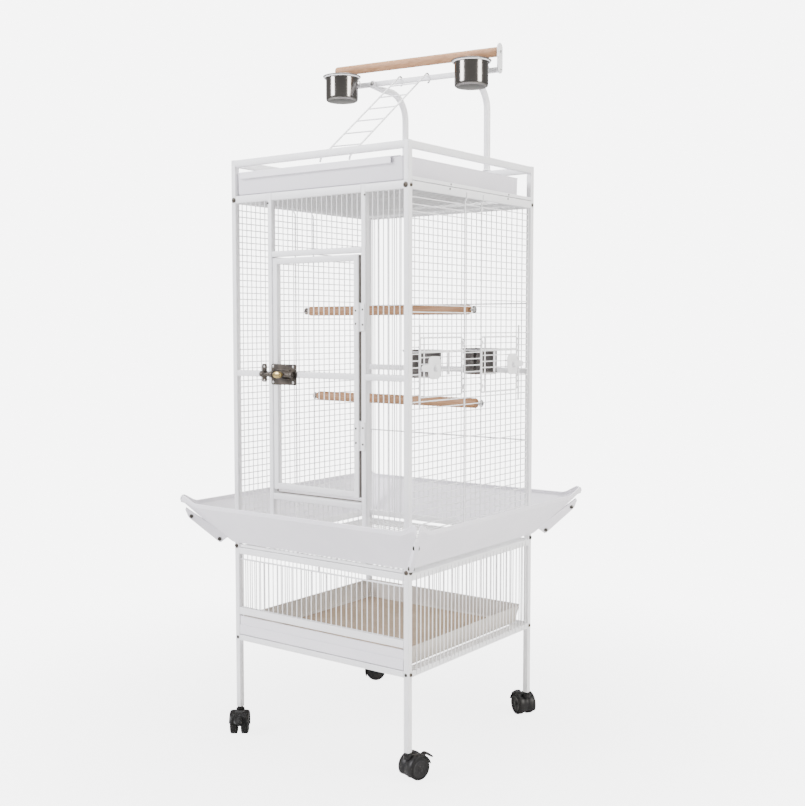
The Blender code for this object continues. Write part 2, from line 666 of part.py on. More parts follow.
def build_feeders():
    ring_top = CAGE_CUP_RIM - CUP_FLANGE - GAP
    for place, (hinge, free, cup_y, latch_y) in FEEDERS.items():
        outward = math.copysign(1, free)
        ys = sorted((hinge + outward * 0.0012, free))
        xs = (PANEL_X - FEEDER_FRAME / 2, PANEL_X + FEEDER_FRAME / 2)
        door = Shape("powder_coat")
        for z in (FEEDER_Z[0], FEEDER_Z[1] - FEEDER_FRAME):
            door.box((xs[0], ys[0], z), (xs[1], ys[1], z + FEEDER_FRAME))
        for y in (ys[0] + SHY, ys[1] - FEEDER_FRAME - SHY):
            low = (xs[0] + SHY, y, FEEDER_Z[0] + SHY)
            door.box(low, (xs[1] - SHY, y + FEEDER_FRAME, FEEDER_Z[1] - SHY))
        low = (xs[0] + 0.0003, ys[0] + 0.002, ring_top - 0.0035)
        door.box(low, (xs[1] - 0.0003, ys[1] - 0.002, ring_top))
        inside = (ys[0] + FEEDER_FRAME, ys[1] - FEEDER_FRAME)
        level_wires(door, 1, inside, (FEEDER_Z[0] + FEEDER_FRAME, ring_top - 0.0035), 0.002)
        ring(door, (CAGE_CUP_X, cup_y), ring_top)
        for y in (cup_y - 0.018, cup_y + 0.018):
            low = (CAGE_CUP_X + 0.0372, y - 0.0015, ring_top - 0.0028)
            door.box(low, (PANEL_X + 0.0005, y + 0.0015, ring_top - 0.0004))
        low = (xs[0] + 0.0006, latch_y - 0.009, LATCH_Z - 0.012)
        door.box(low, (HALF + 0.001, latch_y + 0.009, LATCH_Z + 0.012))
        door = door.make("feeder_door_" + place, (FEEDER_HINGE_X, hinge, LATCH_Z))
        build_cup("cage_cup_" + place, (CAGE_CUP_X, cup_y), CAGE_CUP_RIM, door)
        build_latch("feeder_latch_" + place, latch_y, outward, door)


def build_latch(name, pivot_y, outward, door):
    """A turning catch: a rounded upright plate with a tongue that reaches past the door's free edge."""
    face = HALF + 0.001 + GAP
    corner = 0.012
    across = LATCH_PLATE[0] / 2
    half_height = LATCH_PLATE[1] / 2
    outline = []
    for quarter, (side, level) in enumerate(((1, 1), (-1, 1), (-1, -1), (1, -1))):
        for k in range(4):
            angle = math.pi / 2 * (quarter + k / 3)
            a = side * (across - corner) + corner * math.cos(angle)
            outline.append((a, level * (half_height - corner) + corner * math.sin(angle)))
    outline += [(across, -0.0075), (0.040, -0.0065), (0.046, -0.0030)]
    outline += [(0.046, 0.0030), (0.040, 0.0065), (across, 0.0075)]
    latch = Shape("powder_coat")
    latch.prism(outline, face, face + 0.0035, lambda a, b, c: (c, pivot_y + outward * a, LATCH_Z + b))
    knob = [(0, face + 0.003), (0.0070, face + 0.003), (0.0070, face + 0.010), (0.006, face + 0.012)]
    latch.lathe(knob + [(0, face + 0.012)], (0, pivot_y, LATCH_Z), 12, (1, 0, 0))
    latch.make(name, (face, pivot_y, LATCH_Z), door, round_piece=True)


# Play top -----------------------------------------------------------------------------------------
def build_play_frame():
    frame = Shape("powder_coat")
    for side in (-1, 1):
        for face in (-1, 1):
            post(frame, side, face, PLAY_FRAME_BOTTOM, PLAY_RAIL[1])
    zs = (PLAY_RAIL[0], PLAY_RAIL[1] - SHY)
    for sign in (-1, 1):
        front_bar(frame, sign, (-INNER - 0.004, INNER + 0.004), zs)
        side_bar(frame, sign, (-INNER - 0.004, INNER + 0.004), zs)
    frame.make("play_frame")


def build_play_tray():
    tray = Shape("powder_coat")
    tray.tray((-0.2305, -0.2425, 1.2165), (0.2305, 0.2010, 1.2640), WALL)
    tray.box((-0.2300, -0.2470, 1.2615), (0.2300, -0.2415, 1.2642))
    tray.make("play_tray", (0, -0.2425, 1.2165))


def bar_matrix():
    return Matrix.Translation(BAR_CENTRE) @ Matrix.Rotation(PLAY_YAW, 4, "Z")


def build_play_stand():
    bar = bar_matrix()
    half = BAR_SIZE / 2
    cross = Shape("powder_coat")
    cross.box((BAR_REACH[0], -half, -half), (BAR_REACH[1], half, half), bar)
    plate = 0.003
    rise = PLAY_PERCH_Z - BAR_CENTRE.z
    low = (BAR_REACH[1] - plate - 0.0005, -0.0125, -0.007)
    cross.box(low, (BAR_REACH[1] - 0.0005, 0.0125, rise + 0.0185), bar)
    low = (BAR_REACH[0] + 0.003, -0.007, -0.006)
    cross.box(low, (BAR_REACH[0] + 0.003 + plate, 0.007, rise - PERCH_RADIUS - GAP), bar)
    ring_top = PLAY_CUP_RIM - CUP_FLANGE - GAP
    for x in PLAY_CUPS.values():
        centre = bar @ Vector((x, -PLAY_CUP_REACH, 0))
        ring(cross, centre, ring_top)
        for offset in (-0.018, 0.018):
            low = (x + offset - 0.0015, -PLAY_CUP_REACH + 0.0370, half - 0.002)
            top = ring_top - BAR_CENTRE.z - 0.0005
            cross.box(low, (x + offset + 0.0015, half - 0.001, top), bar)
    crossbar = cross.make("play_crossbar", BAR_CENTRE)
    for place, x in PLAY_CUPS.items():
        centre = bar @ Vector((x, -PLAY_CUP_REACH, 0))
        build_cup("play_cup_" + place, (centre.x, centre.y), PLAY_CUP_RIM, crossbar)

    perch = (BAR_REACH[1] - plate - 0.0005 - GAP, BAR_REACH[0] - 0.012)
    ends = [(0, perch[1]), (0.008, perch[1]), (PERCH_RADIUS, perch[1] + 0.003)]
    ends += [(PERCH_RADIUS, perch[0] - 0.003), (0.008, perch[0]), (0, perch[0])]
    centre = BAR_CENTRE + Vector((0, 0, rise))
    along = bar.to_3x3() @ Vector((1, 0, 0))
    Shape("wood").lathe(ends, centre, 16, along).make("play_perch", centre, round_piece=True)

    for place, side in (("left", -1), ("right", 1)):
        x = side * PLAY_LEG_X
        bar_y = BAR_CENTRE.y + x * math.tan(PLAY_YAW)
        stop = bar_y + half / math.cos(PLAY_YAW) + PLAY_LEG_RADIUS * math.tan(PLAY_YAW) + GAP
        top = BAR_CENTRE.z
        path = [(x, PANEL_X, PLAY_RAIL[1] + GAP)]
        for k in range(7):
            angle = math.pi / 2 * k / 6
            y = PANEL_X - PLAY_LEG_BEND * (1 - math.cos(angle))
            path.append((x, y, top - PLAY_LEG_BEND * (1 - math.sin(angle))))
        path.append((x, stop, top))
        leg = Shape("powder_coat").sweep(path, PLAY_LEG_RADIUS, 10)
        leg.make("play_leg_" + place, path[0], round_piece=True)


def build_ladder():
    bar = bar_matrix()
    tilt = Matrix.Rotation(LADDER_DROP, 4, "X")
    own = bar @ tilt
    ladder = Shape("powder_coat")
    for x in LADDER_BAR_POSITIONS:
        ladder.sweep(hook_path(own, x), LADDER_WIRE, 6)
    for k in range(LADDER_RUNGS):
        y = -LADDER_RUNG_FIRST - LADDER_RUNG_PITCH * k
        reach = (LADDER_BAR_POSITIONS[0] - 0.001, LADDER_BAR_POSITIONS[1] + 0.001)
        ends = [(x, y, LADDER_HOOK) for x in reach]
        ladder.sweep([own @ Vector(p) for p in ends], LADDER_WIRE * 0.9, 6)
    ladder.make("ladder", BAR_CENTRE, round_piece=True)


def hook_path(own, x):
    """A ladder rail: round the back of the bar, over its top, and straight down to the tray."""
    path = []
    for k in range(7):
        angle = math.radians(200 - 200 * k / 6)
        path.append(own @ Vector((x, LADDER_HOOK * math.sin(angle), LADDER_HOOK * math.cos(angle))))
    path.append(own @ Vector((x, -LADDER_LENGTH, LADDER_HOOK)))
    return path


# The whole object ---------------------------------------------------------------------------------
for leftover in list(bpy.data.objects):
    bpy.data.objects.remove(leftover)
MATERIALS = {name: make_material(name, *values) for name, values in FINISHES.items()}
build_stand()
build_dropping_tray()
build_floor_grate()
build_casters()
build_skirt()
build_cage_sides()
build_cage_back()
build_cage_front()
build_roof()
build_perches()
build_main_door()
build_feeders()
build_play_frame()
build_play_tray()
build_play_stand()
build_ladder()
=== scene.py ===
"""The look of a bird cage on a rolling stand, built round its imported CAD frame. Metres, +Z up, door at -Y."""

import json
from math import atan2, copysign, cos, hypot, pi, radians, sin, sqrt, tan, tau

import bmesh
import bpy
from mathutils import Matrix, Vector

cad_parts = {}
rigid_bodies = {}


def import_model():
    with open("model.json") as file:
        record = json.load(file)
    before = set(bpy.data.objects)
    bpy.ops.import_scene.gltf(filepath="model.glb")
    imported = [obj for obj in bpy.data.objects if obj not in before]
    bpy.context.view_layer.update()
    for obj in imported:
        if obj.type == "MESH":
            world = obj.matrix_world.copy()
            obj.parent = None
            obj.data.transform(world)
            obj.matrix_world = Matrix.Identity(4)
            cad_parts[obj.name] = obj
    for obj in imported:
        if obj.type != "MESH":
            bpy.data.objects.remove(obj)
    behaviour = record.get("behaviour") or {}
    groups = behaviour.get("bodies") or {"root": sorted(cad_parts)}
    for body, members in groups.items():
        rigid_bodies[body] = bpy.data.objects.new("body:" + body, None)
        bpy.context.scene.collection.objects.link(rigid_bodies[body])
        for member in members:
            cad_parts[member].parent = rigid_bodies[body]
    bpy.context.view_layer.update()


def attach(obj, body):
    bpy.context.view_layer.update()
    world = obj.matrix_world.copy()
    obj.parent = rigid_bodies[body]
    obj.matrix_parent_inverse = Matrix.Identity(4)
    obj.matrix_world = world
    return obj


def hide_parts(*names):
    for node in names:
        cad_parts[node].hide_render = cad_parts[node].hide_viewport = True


for leftover in list(bpy.data.objects):
    bpy.data.objects.remove(leftover)
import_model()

# Sizes shared with the frame -----------
HALF = 0.245
TUBE = 0.013
INNER = HALF - TUBE
MID = HALF - TUBE / 2
GAP = 0.0003
OUTSIDE = HALF + 0.0006
PITCH = 0.014
WIRE = 0.00118
LEG = (0.058, 0.4355)
STAND_LOW = (0.213, 0.226)
STAND_MID = (0.2735, 0.2895)
STAND_THIN = (0.398, 0.4015)
STAND_TOP = (0.412, 0.4265)
BODY = (0.4358, 1.2155)
BODY_LOW = (0.4368, 0.4515)
BODY_MID = (0.816, 0.829)
BODY_TOP = (1.199, 1.2153)
SILL = (0.547, 0.561)
HEAD = (1.077, 1.089)
MULLION = (0.124, 0.136)
HINGE = (0.1195, -0.2482)
BOLT_Z = 0.8225
BOLT_Y = -0.2525
FEEDERS = {"front": (-0.041, -0.199, -0.118, -0.158), "back": (0.030, 0.184, 0.104, 0.150)}
LATCH_Z = 0.842
CUP_RIM = 0.877
CUP_X = 0.190
CUP_RING = 0.0413
PLAY_RIM = 1.518
PLAY_CUPS = {"left": -0.177, "right": 0.162}
BAR = Vector((0.0, 0.132, 1.506))
YAW = atan2(0.139, 0.990)
ALONG_BAR = Matrix.Translation(BAR) @ Matrix.Rotation(YAW, 4, "Z")
WHEEL = 0.0245
TRAIL = 0.018
CASTERS = {
    "front_right": (1, -1, 73.0),
    "front_left": (-1, -1, -52.0),
    "back_right": (1, 1, 149.0),
    "back_left": (-1, 1, 35.0),
}
BACKDROP = 7.0


# Materials -----------------------------
def link(tree, source, target):
    tree.links.new(source, target)


def material(
    name, colour, other, rough, metallic=0.0, bump=0.1, grain=900.0, patch=14.0, coat=0.0,
    stretch=None, gloss=0.5,
):
    """A finish whose colour, roughness and surface all vary a little, by noise in the piece's own space."""
    made = bpy.data.materials.new(name)
    made.use_nodes = True
    tree = made.node_tree
    shader = tree.nodes["Principled BSDF"]
    shader.inputs["Metallic"].default_value = metallic
    shader.inputs["Specular IOR Level"].default_value = gloss
    shader.inputs["Coat Weight"].default_value = coat
    shader.inputs["Coat Roughness"].default_value = 0.25
    place = tree.nodes.new("ShaderNodeTexCoord").outputs["Object"]
    if stretch:
        mapping = tree.nodes.new("ShaderNodeMapping")
        mapping.inputs["Rotation"].default_value = stretch[0]
        mapping.inputs["Scale"].default_value = stretch[1]
        link(tree, place, mapping.inputs["Vector"])
        place = mapping.outputs["Vector"]

    def noise(scale, detail):
        node = tree.nodes.new("ShaderNodeTexNoise")
        node.inputs["Scale"].default_value = scale
        node.inputs["Detail"].default_value = detail
        link(tree, place, node.inputs["Vector"])
        return node.outputs["Fac"]

    tint = tree.nodes.new("ShaderNodeValToRGB")
    tint.color_ramp.elements[0].position = 0.35
    tint.color_ramp.elements[0].color = (*colour, 1)
    tint.color_ramp.elements[1].position = 0.68
    tint.color_ramp.elements[1].color = (*other, 1)
    link(tree, noise(patch, 4.0), tint.inputs["Fac"])
    link(tree, tint.outputs["Color"], shader.inputs["Base Color"])
    spread = tree.nodes.new("ShaderNodeMapRange")
    spread.inputs["To Min"].default_value = rough[0]
    spread.inputs["To Max"].default_value = rough[1]
    link(tree, noise(patch * 5, 3.0), spread.inputs["Value"])
    link(tree, spread.outputs["Result"], shader.inputs["Roughness"])
    rise = tree.nodes.new("ShaderNodeBump")
    rise.inputs["Strength"].default_value = bump
    rise.inputs["Distance"].default_value = 0.0003
    link(tree, noise(grain, 2.0), rise.inputs["Height"])
    link(tree, rise.outputs["Normal"], shader.inputs["Normal"])
    return made


def timber(name, colour, other, turn=0.0):
    """Wood whose grain runs along a dowel at this turn."""
    along = ((0, 0, turn), (1.0, 16.0, 16.0))
    return material(name, colour, other, (0.5, 0.68), 0, 0.5, 120, 22, stretch=along)


MATERIALS = {
    "coat": material(
        "powder_coat", (0.80, 0.80, 0.815), (0.84, 0.84, 0.85), (0.34, 0.48), bump=0.12, coat=0.15
    ),
    "sheet": material(
        "skirt_coat", (0.77, 0.75, 0.80), (0.80, 0.78, 0.825), (0.30, 0.42), bump=0.10, coat=0.2
    ),
    # The dropping tray has one coat. Its floor takes the darker copy and its pan walls the lighter copy, so the
    # difference is painted shade on the floor and painted light on the walls.
    "tray": material("tray_coat", (0.31, 0.225, 0.15), (0.36, 0.27, 0.19), (0.42, 0.58), bump=0.15),
    "tray_wall_painted_lighter": material("tray_wall_painted_lighter", (0.50, 0.455, 0.405), (0.56, 0.52, 0.47), (0.40, 0.55), bump=0.12),
    # under: a dark finish that is painted shade, laid in the door gap and under the play tray.
    "under": material("painted_shade_dark", (0.15, 0.135, 0.12), (0.19, 0.175, 0.16), (0.5, 0.62), bump=0.15),
    # steel: the base colour is darkened far below that of bright steel, a painted reflection of dark
    # surroundings on the cups.
    "steel": material("steel", (0.14, 0.13, 0.125), (0.21, 0.20, 0.19), (0.12, 0.20), 1.0, 0.05, 300, 8),
    "zinc": material("zinc", (0.42, 0.42, 0.42), (0.58, 0.57, 0.55), (0.22, 0.38), 1.0, 0.2, 600, 90),
    "dark": material(
        "dark_screw", (0.035, 0.033, 0.030), (0.09, 0.085, 0.075), (0.3, 0.45), 0.7, 0.2, 800, 120
    ),
    "bronze": material(
        "bronze", (0.040, 0.034, 0.029), (0.085, 0.070, 0.056), (0.38, 0.55), 0.6, 0.3, 700, 60
    ),
    "brass": material("brass", (0.30, 0.22, 0.085), (0.42, 0.32, 0.14), (0.26, 0.40), 1.0, 0.1, 500, 60),
    "plastic": material(
        "black_plastic", (0.005, 0.005, 0.0055), (0.010, 0.0095, 0.009), (0.34, 0.5), 0.0, 0.25, 700, 30,
        gloss=0.25,
    ),
    "tread": material(
        "tread", (0.006, 0.006, 0.006), (0.011, 0.0105, 0.010), (0.5, 0.66), 0.0, 0.2, 500, 40, gloss=0.2
    ),
    "wood": timber("wood", (0.30, 0.145, 0.062), (0.42, 0.225, 0.108)),
    "wood_top": timber("wood_top", (0.31, 0.155, 0.07), (0.43, 0.235, 0.118), -YAW),
}


# Shapes --------------------------------
def put(name, data):
    made = bpy.data.objects.new(name, data)
    bpy.context.scene.collection.objects.link(made)
    return made


class Piece:
    """Closed shells gathered into one mesh."""

    def __init__(self, finish):
        self.finish = finish
        self.points = []
        self.faces = []

    def add(self, points, faces):
        base = len(self.points)
        self.points += [Vector(p) for p in points]
        self.faces += [[base + i for i in face] for face in faces]
        return self

    def rings(self, rings, closed=False):
        """A skin over rings of equally many points, capped at both ends unless it runs round to the first."""
        count, tall = len(rings[0]), len(rings)
        faces = [] if closed else [tuple(range(count)), tuple(range((tall - 1) * count, tall * count))]
        for r in range(tall if closed else tall - 1):
            a, b = r * count, (r + 1) % tall * count
            for i in range(count):
                j = (i + 1) % count
                faces.append((a + i, a + j, b + j, b + i))
        return self.add([p for ring in rings for p in ring], faces)

    def prism(self, outline, start, end, place):
        return self.rings([[place(a, b, c) for a, b in outline] for c in (start, end)])

    def block(self, low, high, axis, radius, steps, turn):
        """A box whose edges along one axis are rounded."""
        a, b = [k for k in range(3) if k != axis]

        def place(u, v, w):
            point = Vector((0, 0, 0))
            point[a], point[b], point[axis] = u, v, w
            return turn @ point if turn else point

        outline = rounded(low[a], low[b], high[a], high[b], radius, steps)
        return self.prism(outline, low[axis], high[axis], place)

    def bar(self, low, high, turn=None, radius=0.0017):
        """A box whose long edges are rounded, like a square tube."""
        size = [b - a for a, b in zip(low, high)]
        axis = size.index(max(size))
        narrow = min(extent for k, extent in enumerate(size) if k != axis)
        return self.block(low, high, axis, min(radius, narrow * 0.45), 3, turn)

    def plate(self, low, high, axis, radius, turn=None):
        """A flat plate with rounded corners, thin along one axis."""
        return self.block(low, high, axis, radius, 5, turn)

    def sweep(self, path, radius, sides=10, up=None, closed=False):
        """A bar along a path. Each radius is one number, or two: across, and along `up`."""
        path = [Vector(p) for p in path]
        count = len(path)
        radii = radius if isinstance(radius, list) else [radius] * count
        ahead = (path[1] - path[0]).normalized()
        across = ahead.cross(Vector(up)).normalized() if up else ahead.orthogonal().normalized()
        rings = []
        for i, centre in enumerate(path):
            before = path[(i - 1) % count] if closed else path[max(i - 1, 0)]
            after = path[(i + 1) % count] if closed else path[min(i + 1, count - 1)]
            along = (after - before).normalized()
            across = (across - along * across.dot(along)).normalized()
            upward = along.cross(across)
            wide, high = radii[i] if isinstance(radii[i], tuple) else (radii[i], radii[i])
            ring = []
            for k in range(sides):
                angle = tau * (k + 0.5) / sides
                ring.append(centre + wide * cos(angle) * across + high * sin(angle) * upward)
            rings.append(ring)
        return self.rings(rings, closed)

    def wire(self, start, end, radius=WIRE):
        """A straight wire that swells into a small weld at each end."""
        start, end = Vector(start), Vector(end)
        step = (end - start).normalized()
        path = [start, start + 0.0006 * step, start + 0.0020 * step]
        path += [end - 0.0020 * step, end - 0.0006 * step, end]
        return self.sweep(path, [1.75 * radius, 1.4 * radius, radius, radius, 1.4 * radius, 1.75 * radius], 8)

    def loop(self, centre, radius, thick, sides=40, ring=8):
        """A level ring of round wire."""
        around = [Vector((radius * cos(t), radius * sin(t), 0)) for t in angles(sides)]
        return self.sweep([Vector(centre) + spoke for spoke in around], thick, ring, (0, 0, 1), True)

    def turned(self, outline, centre, axis=(0, 0, 1), sides=32, start=0.0, stop=360.0, zero=None):
        """A closed outline of (radius, height) turned about an axis, all the way or part of it."""
        axis = Vector(axis).normalized()
        zero = Vector(zero).normalized() if zero else axis.orthogonal().normalized()
        other = axis.cross(zero)
        whole = stop - start >= 359.9
        count = sides if whole else sides + 1
        points = []
        for k in range(count):
            angle = radians(start + (stop - start) * k / sides)
            spoke = cos(angle) * zero + sin(angle) * other
            points += [Vector(centre) + radius * spoke + height * axis for radius, height in outline]
        length = len(outline)
        faces = []
        for k in range(sides):
            for i in range(length):
                j = (i + 1) % length
                if outline[i][0] < 1e-7 and outline[j][0] < 1e-7:
                    continue
                n = (k + 1) % count
                faces.append((k * length + i, k * length + j, n * length + j, n * length + i))
        if not whole:
            faces += [tuple(range(length)), tuple(range((count - 1) * length, count * length))]
        return self.add(points, faces)

    def head(self, centre, axis, radius, height=None):
        """A domed screw head with a small socket."""
        h = height or 0.55 * radius
        outline = [(0, -0.4 * h), (radius, -0.4 * h), (radius, 0.35 * h), (0.82 * radius, 0.8 * h)]
        outline += [(0.45 * radius, h), (0.36 * radius, 0.92 * h), (0.33 * radius, 0.45 * h), (0, 0.45 * h)]
        return self.turned(outline, centre, axis, 16)

    def make(self, name, body, *nodes, angle=38):
        bm = bmesh.new()
        corners = [bm.verts.new(p) for p in self.points]
        for face in self.faces:
            bm.faces.new([corners[i] for i in face])
        bmesh.ops.remove_doubles(bm, verts=bm.verts, dist=1e-7)
        bmesh.ops.recalc_face_normals(bm, faces=bm.faces)
        mesh = bpy.data.meshes.new(name)
        bm.to_mesh(mesh)
        bm.free()
        mesh.shade_smooth()
        mesh.set_sharp_from_angle(angle=radians(angle))
        mesh.materials.append(MATERIALS[self.finish])
        piece = put(name, mesh)
        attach(piece, body)
        if nodes:
            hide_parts(*nodes)
        return piece


def angles(count):
    return [tau * k / count for k in range(count)]


def on_front(across, up, depth):
    return Vector((across, depth, up))


def screw_heads(name, body, finish, spots, radius, height):
    """Screw heads that face the front."""
    heads = Piece(finish)
    for spot in spots:
        heads.head(spot, (0, -1, 0), radius, height)
    heads.make(name, body)


def rounded(x0, y0, x1, y1, radius, steps=3):
    """A rectangle's outline with round corners."""
    outline = []
    for cx, cy, first in ((x1, y1, 0), (x0, y1, 90), (x0, y0, 180), (x1, y0, 270)):
        sx = cx - copysign(radius, cx - (x0 + x1) / 2)
        sy = cy - copysign(radius, cy - (y0 + y1) / 2)
        for k in range(steps + 1):
            angle = radians(first + 90 * k / steps)
            outline.append((sx + radius * cos(angle), sy + radius * sin(angle)))
    return outline


def bend(points, radius, steps=6):
    """The path through the points with each inner corner rounded."""
    points = [Vector(p) for p in points]
    path = [points[0]]
    for before, corner, after in zip(points, points[1:], points[2:]):
        start = corner + (before - corner).normalized() * radius
        end = corner + (after - corner).normalized() * radius
        for k in range(steps + 1):
            t = k / steps
            path.append((1 - t) ** 2 * start + 2 * t * (1 - t) * corner + t * t * end)
    path.append(points[-1])
    return path


def places(low, high, pitch=PITCH):
    count = max(1, round((high - low) / pitch) - 1)
    return [low + (high - low) * (i + 1) / (count + 1) for i in range(count)]


def apart(sign, near, far):
    """The two distances on one side of the middle, the lower coordinate first."""
    return sorted((sign * near, sign * far))


def face_bar(piece, sign, xs, zs, thin=0.0002):
    ys = apart(sign, INNER + thin, HALF - thin)
    return piece.bar((xs[0], ys[0], zs[0]), (xs[1], ys[1], zs[1]))


def side_bar(piece, sign, ys, zs, thin=0.0002):
    xs = apart(sign, INNER + thin, HALF - thin)
    return piece.bar((xs[0], ys[0], zs[0]), (xs[1], ys[1], zs[1]))


def post(piece, side, face, zs):
    xs = apart(side, INNER, HALF)
    ys = apart(face, INNER, HALF)
    return piece.bar((xs[0], ys[0], zs[0]), (xs[1], ys[1], zs[1]))


def face_wires(piece, sign, xs, zs, pitch=PITCH):
    for x in places(*xs, pitch):
        piece.wire((x, sign * MID, zs[0]), (x, sign * MID, zs[1]))


# Stand ---------------------------------
def rail_wire(piece, x, y, ease=0.0):
    """An upright wire on the outside of the stand's rails, thinner where it is welded on."""
    heights = (STAND_LOW[0] + 0.004, STAND_LOW[1], STAND_TOP[0] + ease, STAND_TOP[1] - 0.0035)
    piece.sweep([(x, y, z) for z in heights], [WIRE * 0.7, WIRE, WIRE, WIRE * 0.6], 8)


def stand():
    span = (-INNER + GAP, INNER - GAP)
    plug = 0.0052
    for name, (side, face, _) in CASTERS.items():
        leg = post(Piece("coat"), side, face, LEG)
        leg.make("leg_" + name + "_tube", "cage", "leg_" + name)
        x, y = side * MID, face * MID
        foot = Piece("plastic")
        foot.bar((x - plug, y - plug, LEG[0] - 0.0008), (x + plug, y + plug, LEG[0] + 0.0008))
        foot.make("leg_" + name + "_plug", "cage")
    for name, side in (("left", -1), ("right", 1)):
        panel = Piece("coat")
        xs = apart(side, INNER - 0.013, INNER + 0.003)
        for rail in (STAND_LOW, STAND_TOP):
            side_bar(panel, side, span, rail)
            panel.bar((xs[0], span[0], rail[1] - 0.0016), (xs[1], span[1], rail[1] - GAP), None, 0.0003)
        for y in places(*span):
            rail_wire(panel, side * OUTSIDE, y, 0.002)
        panel.make("stand_side_" + name, "cage", "stand_panel_" + name)
    back = Piece("coat")
    face_bar(back, 1, span, STAND_LOW)
    face_bar(back, 1, span, STAND_TOP)
    for x in places(*span):
        rail_wire(back, x, OUTSIDE)
    back.make("stand_back", "cage", "stand_panel_back")
    front = Piece("coat")
    face_bar(front, -1, span, STAND_TOP)
    face_bar(front, -1, span, STAND_MID)
    thin = sum(STAND_THIN) / 2
    front.wire((span[0], -MID, thin), (span[1], -MID, thin), 0.0018)
    face_wires(front, -1, span, (STAND_MID[1], thin + 0.0008))
    for x in (-0.226, 0.0, 0.226):
        front.wire((x, -MID, thin), (x, -MID, STAND_TOP[0]), 0.0015)
    front.make("stand_front", "cage", "stand_panel_front")
    sill = Piece("coat")
    face_bar(sill, -1, span, STAND_LOW)
    sill.make("stand_sill", "cage", "stand_rail_front")


def hardware():
    """Bolts and screws that are fixed to the frame."""
    top, middle, low = 1.2060, 0.4300, 0.2195
    washer = [(0.0044, -0.0002), (0.0058, -0.0002), (0.0058, 0.0009), (0.0044, 0.0009)]
    dark = Piece("dark")
    bronze = Piece("bronze")
    for side in (-1, 1):
        beside = (side, 0, 0)
        for face in (-1, 1):
            ahead = (0, face, 0)
            bronze.head((side * (MID - 0.001), face * HALF, top), ahead, 0.0046, 0.0030)
            bronze.head((side * HALF, face * (MID - 0.001), top), beside, 0.0040, 0.0026)
            dark.turned(washer, (side * (MID - 0.001), face * HALF, top), ahead, 20)
            bronze.head((side * (MID + 0.0005), face * HALF, middle), ahead, 0.0050, 0.0030)
            dark.head((side * HALF, face * (MID + 0.0003), middle), beside, 0.0050, 0.0034)
            dark.head((side * (MID - 0.0005), face * HALF, low), ahead, 0.0036, 0.0020)
            bronze.head((side * HALF, face * (MID - 0.0005), low), beside, 0.0040, 0.0030)
        for z in (1.1930, 0.4680):
            dark.head((side * 0.1340, -HALF, z), (0, -1, 0), 0.0022)
        for y in (-0.100, 0.130):
            dark.head((side * HALF, y, 1.2108), beside, 0.0022, 0.0008)
            dark.head((side * 0.2447, y + 0.004, 1.2205), beside, 0.0020, 0.0006)
    dark.make("frame_screws", "cage")
    bronze.make("bronze_bolts", "cage")


# Trays ---------------------------------
def pan(piece, low, high, slope, wall, corner):
    """An open pan with sloping walls, round corners, a rolled rim and a thin sheet."""
    profile = [(slope + 0.003, low[2]), (slope, low[2] + 0.0008), (slope - 0.002, low[2] + 0.004)]
    profile += [(0.0012, high[2] - 0.0025), (0.0, high[2] - 0.0006), (0.0006, high[2])]
    profile += [(wall, high[2] - 0.0006), (wall + 0.0010, high[2] - 0.0030)]
    profile += [(slope + wall - 0.002, low[2] + wall + 0.003), (slope + wall + 0.003, low[2] + wall)]
    rings = []
    for inset, z in profile:
        radius = max(corner - inset * 0.5, 0.003)
        outline = rounded(low[0] + inset, low[1] + inset, high[0] - inset, high[1] - inset, radius, 6)
        rings.append([(x, y, z) for x, y in outline])
    piece.rings(rings)


def dropping_tray():
    # The pan takes the lighter copy of the tray coat, which is painted light; the floor plate takes the darker
    # copy, which is painted shade.
    tray = Piece("tray_wall_painted_lighter")
    pan(tray, (-0.2300, -0.2405, 0.2264), (0.2300, 0.2290, 0.2700), 0.012, 0.0012, 0.012)
    tray.make("tray_pan", "dropping_tray", "dropping_tray")
    base = Piece("tray").plate((-0.2140, -0.2245, 0.2270), (0.2140, 0.2130, 0.2281), 2, 0.006)
    base.make("tray_floor", "dropping_tray")
    front = Piece("sheet")
    x = 0.2308
    front.plate((-x, -0.2432, 0.2490), (x, -0.2414, 0.2690), 1, 0.0012)
    front.bar((-x, -0.2450, 0.2282), (x, -0.2416, 0.2492), None, 0.0009)
    front.bar((-x, -0.2440, 0.2672), (x, -0.2398, 0.2696), None, 0.0011)
    front.sweep([(-x, -0.2441, 0.2494), (x, -0.2441, 0.2494)], 0.0010, 8)
    front.make("tray_front", "dropping_tray")


def floor_grate():
    grate = Piece("coat")
    low, high = 0.4270, 0.4350
    side, back, level = 0.2280, 0.2285, 0.4298
    grate.bar((-0.2290, -0.2436, low + 0.0012), (0.2290, -0.2412, high - 0.0010), None, 0.0009)
    grate.bar((-0.2290, -0.2430, high - 0.0020), (0.2290, -0.2380, high - 0.0008), None, 0.0005)
    edge = [(-side, -0.2430, level), (-side, back, level), (side, back, level), (side, -0.2430, level)]
    grate.sweep(bend(edge, 0.006), 0.0019, 8, (0, 0, 1))
    for x in places(-side, side):
        grate.wire((x, -0.2425, 0.4297), (x, back, 0.4297))
    for y in (-0.120, 0.0, 0.120):
        grate.wire((-side, y, 0.4282), (side, y, 0.4282), 0.0015)
    grate.make("grate", "floor_grate", "floor_grate")


# Casters -------------------------------
def casters():
    for name, (side, face, heading) in CASTERS.items():
        turn = Matrix.Translation((side * MID, face * MID, 0))
        turn = turn @ Matrix.Rotation(radians(heading), 4, "Z")
        along = turn.to_3x3() @ Vector((0, 1, 0))
        trail = turn.to_3x3() @ Vector((1, 0, 0))
        caster(name, turn, turn @ Vector((TRAIL, 0, WHEEL)), along, trail)


